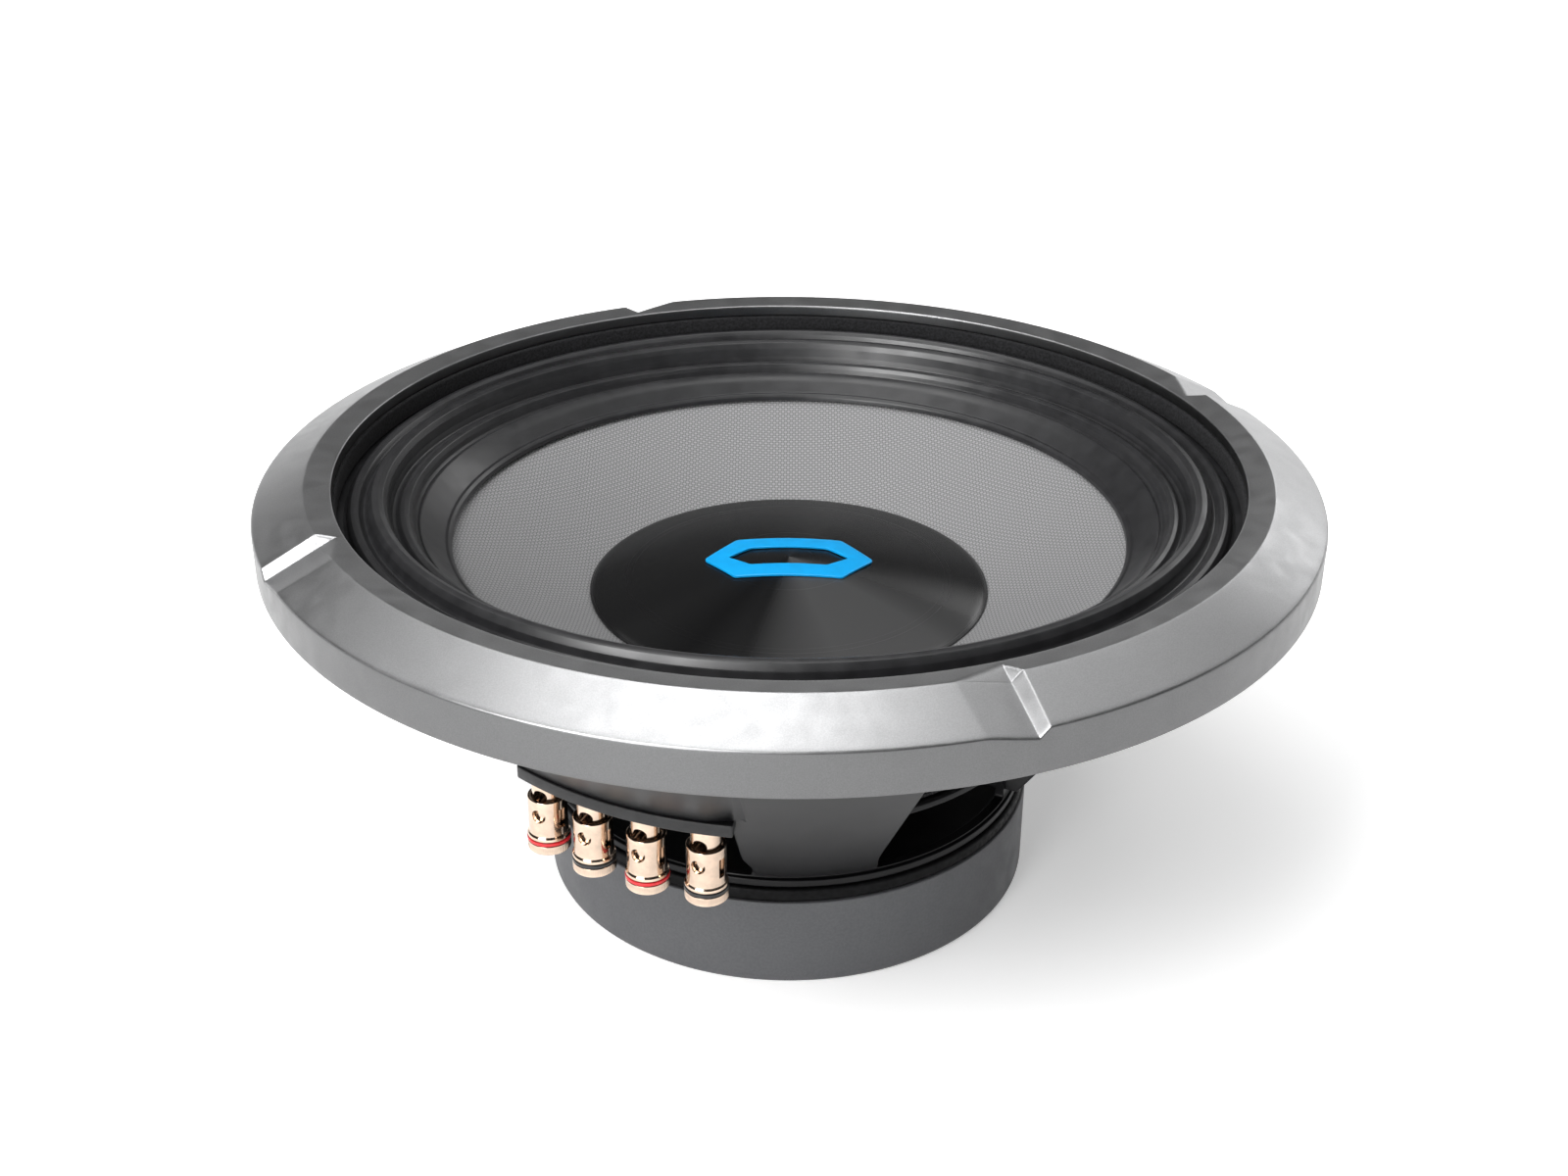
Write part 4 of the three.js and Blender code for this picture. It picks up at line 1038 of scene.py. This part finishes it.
def terminal(number, azimuth):
    centre = Matrix.Translation(polar(TERMINAL_CIRCLE, azimuth, 0))
    sleeve_body = f"terminal sleeve {number}"
    around = even_azimuths(TERMINAL_SEGMENTS)

    post = turned("post", rounded([
        (0, 65.6), (2.7, 65.6), (2.7, 58.6), (4.45, 58.6), (4.45, PLATE_BOTTOM - GAP),
        (2.4, PLATE_BOTTOM - GAP), (2.4, 88.0), (0, 88.0),
    ], [0, 0.2, 0.3, 0.5, 0.3, 0.2, 0.5, 0], steps=4), around)
    combine(post, [cross_hole(WIRE_HOLE_HEIGHT)])
    post.data.transform(centre)
    finish(post, f"terminal_post_{number}", GOLD, angle=35)

    knurls, knurl_depth = 60, 0.16

    def knurl(radius, height, turn):
        if 49.9 < height < 52.2 and radius > 6.1:
            radius -= knurl_depth * (0.5 - 0.5 * math.cos(math.radians(turn) * knurls))
        return radius, height, turn

    outline = rounded([
        (0, 49.5), (6.4, 49.5), (6.4, 52.4), (5.6, 52.4), (5.6, 54.0), (6.4, 54.0), (6.3, 54.9),
        (5.8, 55.4), (5.8, 67.3), (4.62, 67.3), (4.62, 52.0), (0, 52.0),
    ], [0, 0.5, 0.15, 0.1, 0.1, 0.2, 0.3, 0.3, 0.35, 0.3, 0.4, 0], steps=4)
    sleeve = turned("sleeve", spread([*outline, outline[0]], 1.2)[:-1], even_azimuths(knurls * 4), knurl)
    opening = rounded([(4.0, -1.1), (8.0, -1.1), (8.0, 1.1), (4.0, 1.1)], 0.2)
    slot = prism("cut", opening, 58.0, 64.2, edge=0.9)
    slot.data.transform(Matrix.Rotation(math.radians(SLOT_AZIMUTH), 4, "Z"))
    combine(sleeve, [cross_hole(WIRE_HOLE_HEIGHT - PRESS_TRAVEL), slot])
    sleeve.data.transform(centre)
    finish(sleeve, f"push_sleeve_{number}", GOLD, sleeve_body, angle=35)

    material = (RED, DARK)[(number - 1) % 2]
    outline = [(5.9, 52.7), (6.5, 52.7), (6.5, 53.7), (5.9, 53.7)]
    ring = turned("band", rounded(outline, 0.15, steps=3), around)
    ring.data.transform(centre)
    finish(ring, f"colour_band_{number}", material, sleeve_body, angle=50)

    spring_low, spring_top, wire, turns = 52.3, 65.3, 0.34, 8
    path = []
    for k in range(turns * 24 + 1):
        t = k / (turns * 24)
        angle = t * turns * math.tau
        rise = spring_low + wire + (spring_top - spring_low - 2 * wire) * t
        path.append(Vector((1.95 * math.cos(angle), 1.95 * math.sin(angle), rise)) * MM)
    spring = tube("spring", path, wire, 8)
    spring.data.transform(centre)
    finish(spring, f"terminal_spring_{number}", STEEL, body=None, angle=60)
    follow(spring, lambda place: clamped((spring_top * MM - place.z) / (13 * MM)))

    lug_low, lug_top = PLATE_TOP + GAP, PLATE_TOP + 1.1
    outline = rounded([
        (4.2, -3.4), (4.2, 3.4), (-6, 3.4), (-9, 2.2), (-15.5, 2.2), (-15.5, -2.2), (-9, -2.2), (-6, -3.4),
    ], [1.8, 1.8, 1.5, 1.5, 2.0, 2.0, 1.5, 1.5])
    lug = prism("lug", outline, lug_low, lug_top, edge=0.15)
    post_hole = upright("cut", POST_HOLE, lug_low - 1, lug_top + 1)
    lead_hole = upright("cut", 1.0, lug_low - 1, lug_top + 1, -13.2)
    combine(lug, [post_hole, lead_hole])
    lug.data.transform(centre @ Matrix.Rotation(math.radians(azimuth), 4, "Z"))
    finish(lug, f"solder_lug_{number}", GOLD, angle=35)

    hexagon = [tuple(polar(4.6, k * 60, 0).xy / MM) for k in range(6)]
    nut = prism("nut", hexagon, lug_top + GAP, lug_top + 3.7, edge=0.35)
    combine(nut, [upright("cut", POST_HOLE, lug_top - 1, lug_top + 6)])
    nut.data.transform(centre)
    finish(nut, f"terminal_nut_{number}", STEEL, angle=35)

    stops = [
        (90.5, lug_top + 1.2, 0.0), (84.0, 80.6, 0.2), (74.0, 75.6, 0.4),
        (62.0, 74.4, 0.6), (51.0, 78.4, 0.8), (44.0, 84.6, 1.0),
    ]
    places = [
        polar(radius, TERMINAL_MIDDLE + (azimuth - TERMINAL_MIDDLE) * (1 + 0.55 * share), height)
        for radius, height, share in stops
    ]
    lead = tube("lead", smooth_path(places, 12), 0.9, 12)
    finish(lead, f"tinsel_lead_{number}", TINSEL, body=None, angle=60)
    first, last = 88.0 * MM, 46.0 * MM
    follow(lead, lambda place: eased((first - place.xy.length) / (first - last)))


def smooth_path(places, steps):
    """A smooth line through the places."""
    result = []
    for i in range(len(places) - 1):
        before = places[max(i - 1, 0)]
        start, end = places[i], places[i + 1]
        after = places[min(i + 2, len(places) - 1)]
        for k in range(steps):
            t = k / steps
            result.append(0.5 * (
                2 * start + (end - before) * t + (2 * before - 5 * start + 4 * end - after) * t ** 2
                + (3 * start - before - 3 * end + after) * t ** 3
            ))
    return [*result, places[-1]]


# ---- stage and light
def stage():
    mesh = bpy.data.meshes.new("floor")
    half = 6.0
    corners = [(-half, -half, 0), (half, -half, 0), (half, half, 0), (-half, half, 0)]
    mesh.from_pydata(corners, [], [(0, 1, 2, 3)])
    floor = bpy.data.objects.new("floor", mesh)
    bpy.context.scene.collection.objects.link(floor)
    shader = Shader("floor", (0.9, 0.9, 0.9), 0.8, Specular_IOR_Level=0.1)
    radius, turn = shader.polar_place()
    shadow_turn, pull = 0.3, 0.35     # the painted shadow, where the floor glows less, reaches further to the right
    side = shader.math("COSINE", shader.math("SUBTRACT", turn, shadow_turn))
    nearer = shader.math("SUBTRACT", 1.0, shader.math("MULTIPLY", side, pull))
    reach = shader.math("MULTIPLY", radius, nearer)
    # The floor glows, less near the speaker: painted light on the floor, and a painted shadow round the
    # speaker.
    shader.put("Emission Color", (1, 1, 1, 1))
    shader.put("Emission Strength", shader.span(reach, 0.07, 0.26, 0.34, 0.92))
    mesh.materials.append(shader.material)


def area_light(name, place, target, size, energy, size_y=None):
    data = bpy.data.lights.new(name, "AREA")
    data.shape = "RECTANGLE"
    data.size = size
    data.size_y = size_y or size
    data.energy = energy
    light = bpy.data.objects.new(name, data)
    bpy.context.scene.collection.objects.link(light)
    light.location = place
    light.rotation_euler = (Vector(target) - Vector(place)).to_track_quat("-Z", "Y").to_euler()


def lights():
    world = bpy.data.worlds.new("studio")
    bpy.context.scene.world = world
    world.use_nodes = True
    nodes = Nodes(world.node_tree)
    background = world.node_tree.nodes["Background"]
    direction = nodes.node("ShaderNodeTexCoord").outputs["Generated"]
    parts = nodes.node("ShaderNodeSeparateXYZ", Vector=direction)
    # A pale backdrop low down behind the speaker, and a dim room above it.
    level = nodes.span(parts.outputs["Z"], 0.03, 0.24, 1.15, 0.1, "SMOOTHSTEP")
    behind = nodes.span(parts.outputs["Y"], -0.6, 0.7, 0.35, 1.0, "SMOOTHSTEP")
    nodes.feed(background.inputs["Strength"], nodes.math("MULTIPLY", level, behind))
    background.inputs["Color"].default_value = (1, 1, 1, 1)

    centre = (0, 0, 0.1)
    area_light("key", (-0.86, -1.02, 1.35), centre, 0.9, 28)
    area_light("low", (-0.42, -0.9, 0.3), (0, 0, 0.03), 0.35, 4.5)
    area_light("overhead", (-0.17, 0.16, 1.35), centre, 0.62, 4.7, 0.75)
    area_light("left", (-0.6, 0.42, 1.15), centre, 0.5, 0.85, 0.8)
    area_light("right", (0.5, 0.36, 1.2), centre, 0.5, 1.1, 0.8)
    area_light("far_right", (1.05, 1.4, 0.85), centre, 0.8, 3.3, 0.6)
    area_light("strip", (0.75, -0.5, 1.3), centre, 0.08, 1.0, 0.6)
    bpy.context.scene.view_settings.view_transform = "Standard"
    bpy.context.scene.view_settings.look = "None"


make_camera()
stage()
lights()
trim_ring()
gasket()
surround()
cone()
dust_cap()
badge()
basket()
motor()
vent_screen()
coil_and_former()
spider()
screws()
terminal_plate()
for index, direction in enumerate(TERMINALS):
    terminal(index + 1, direction)
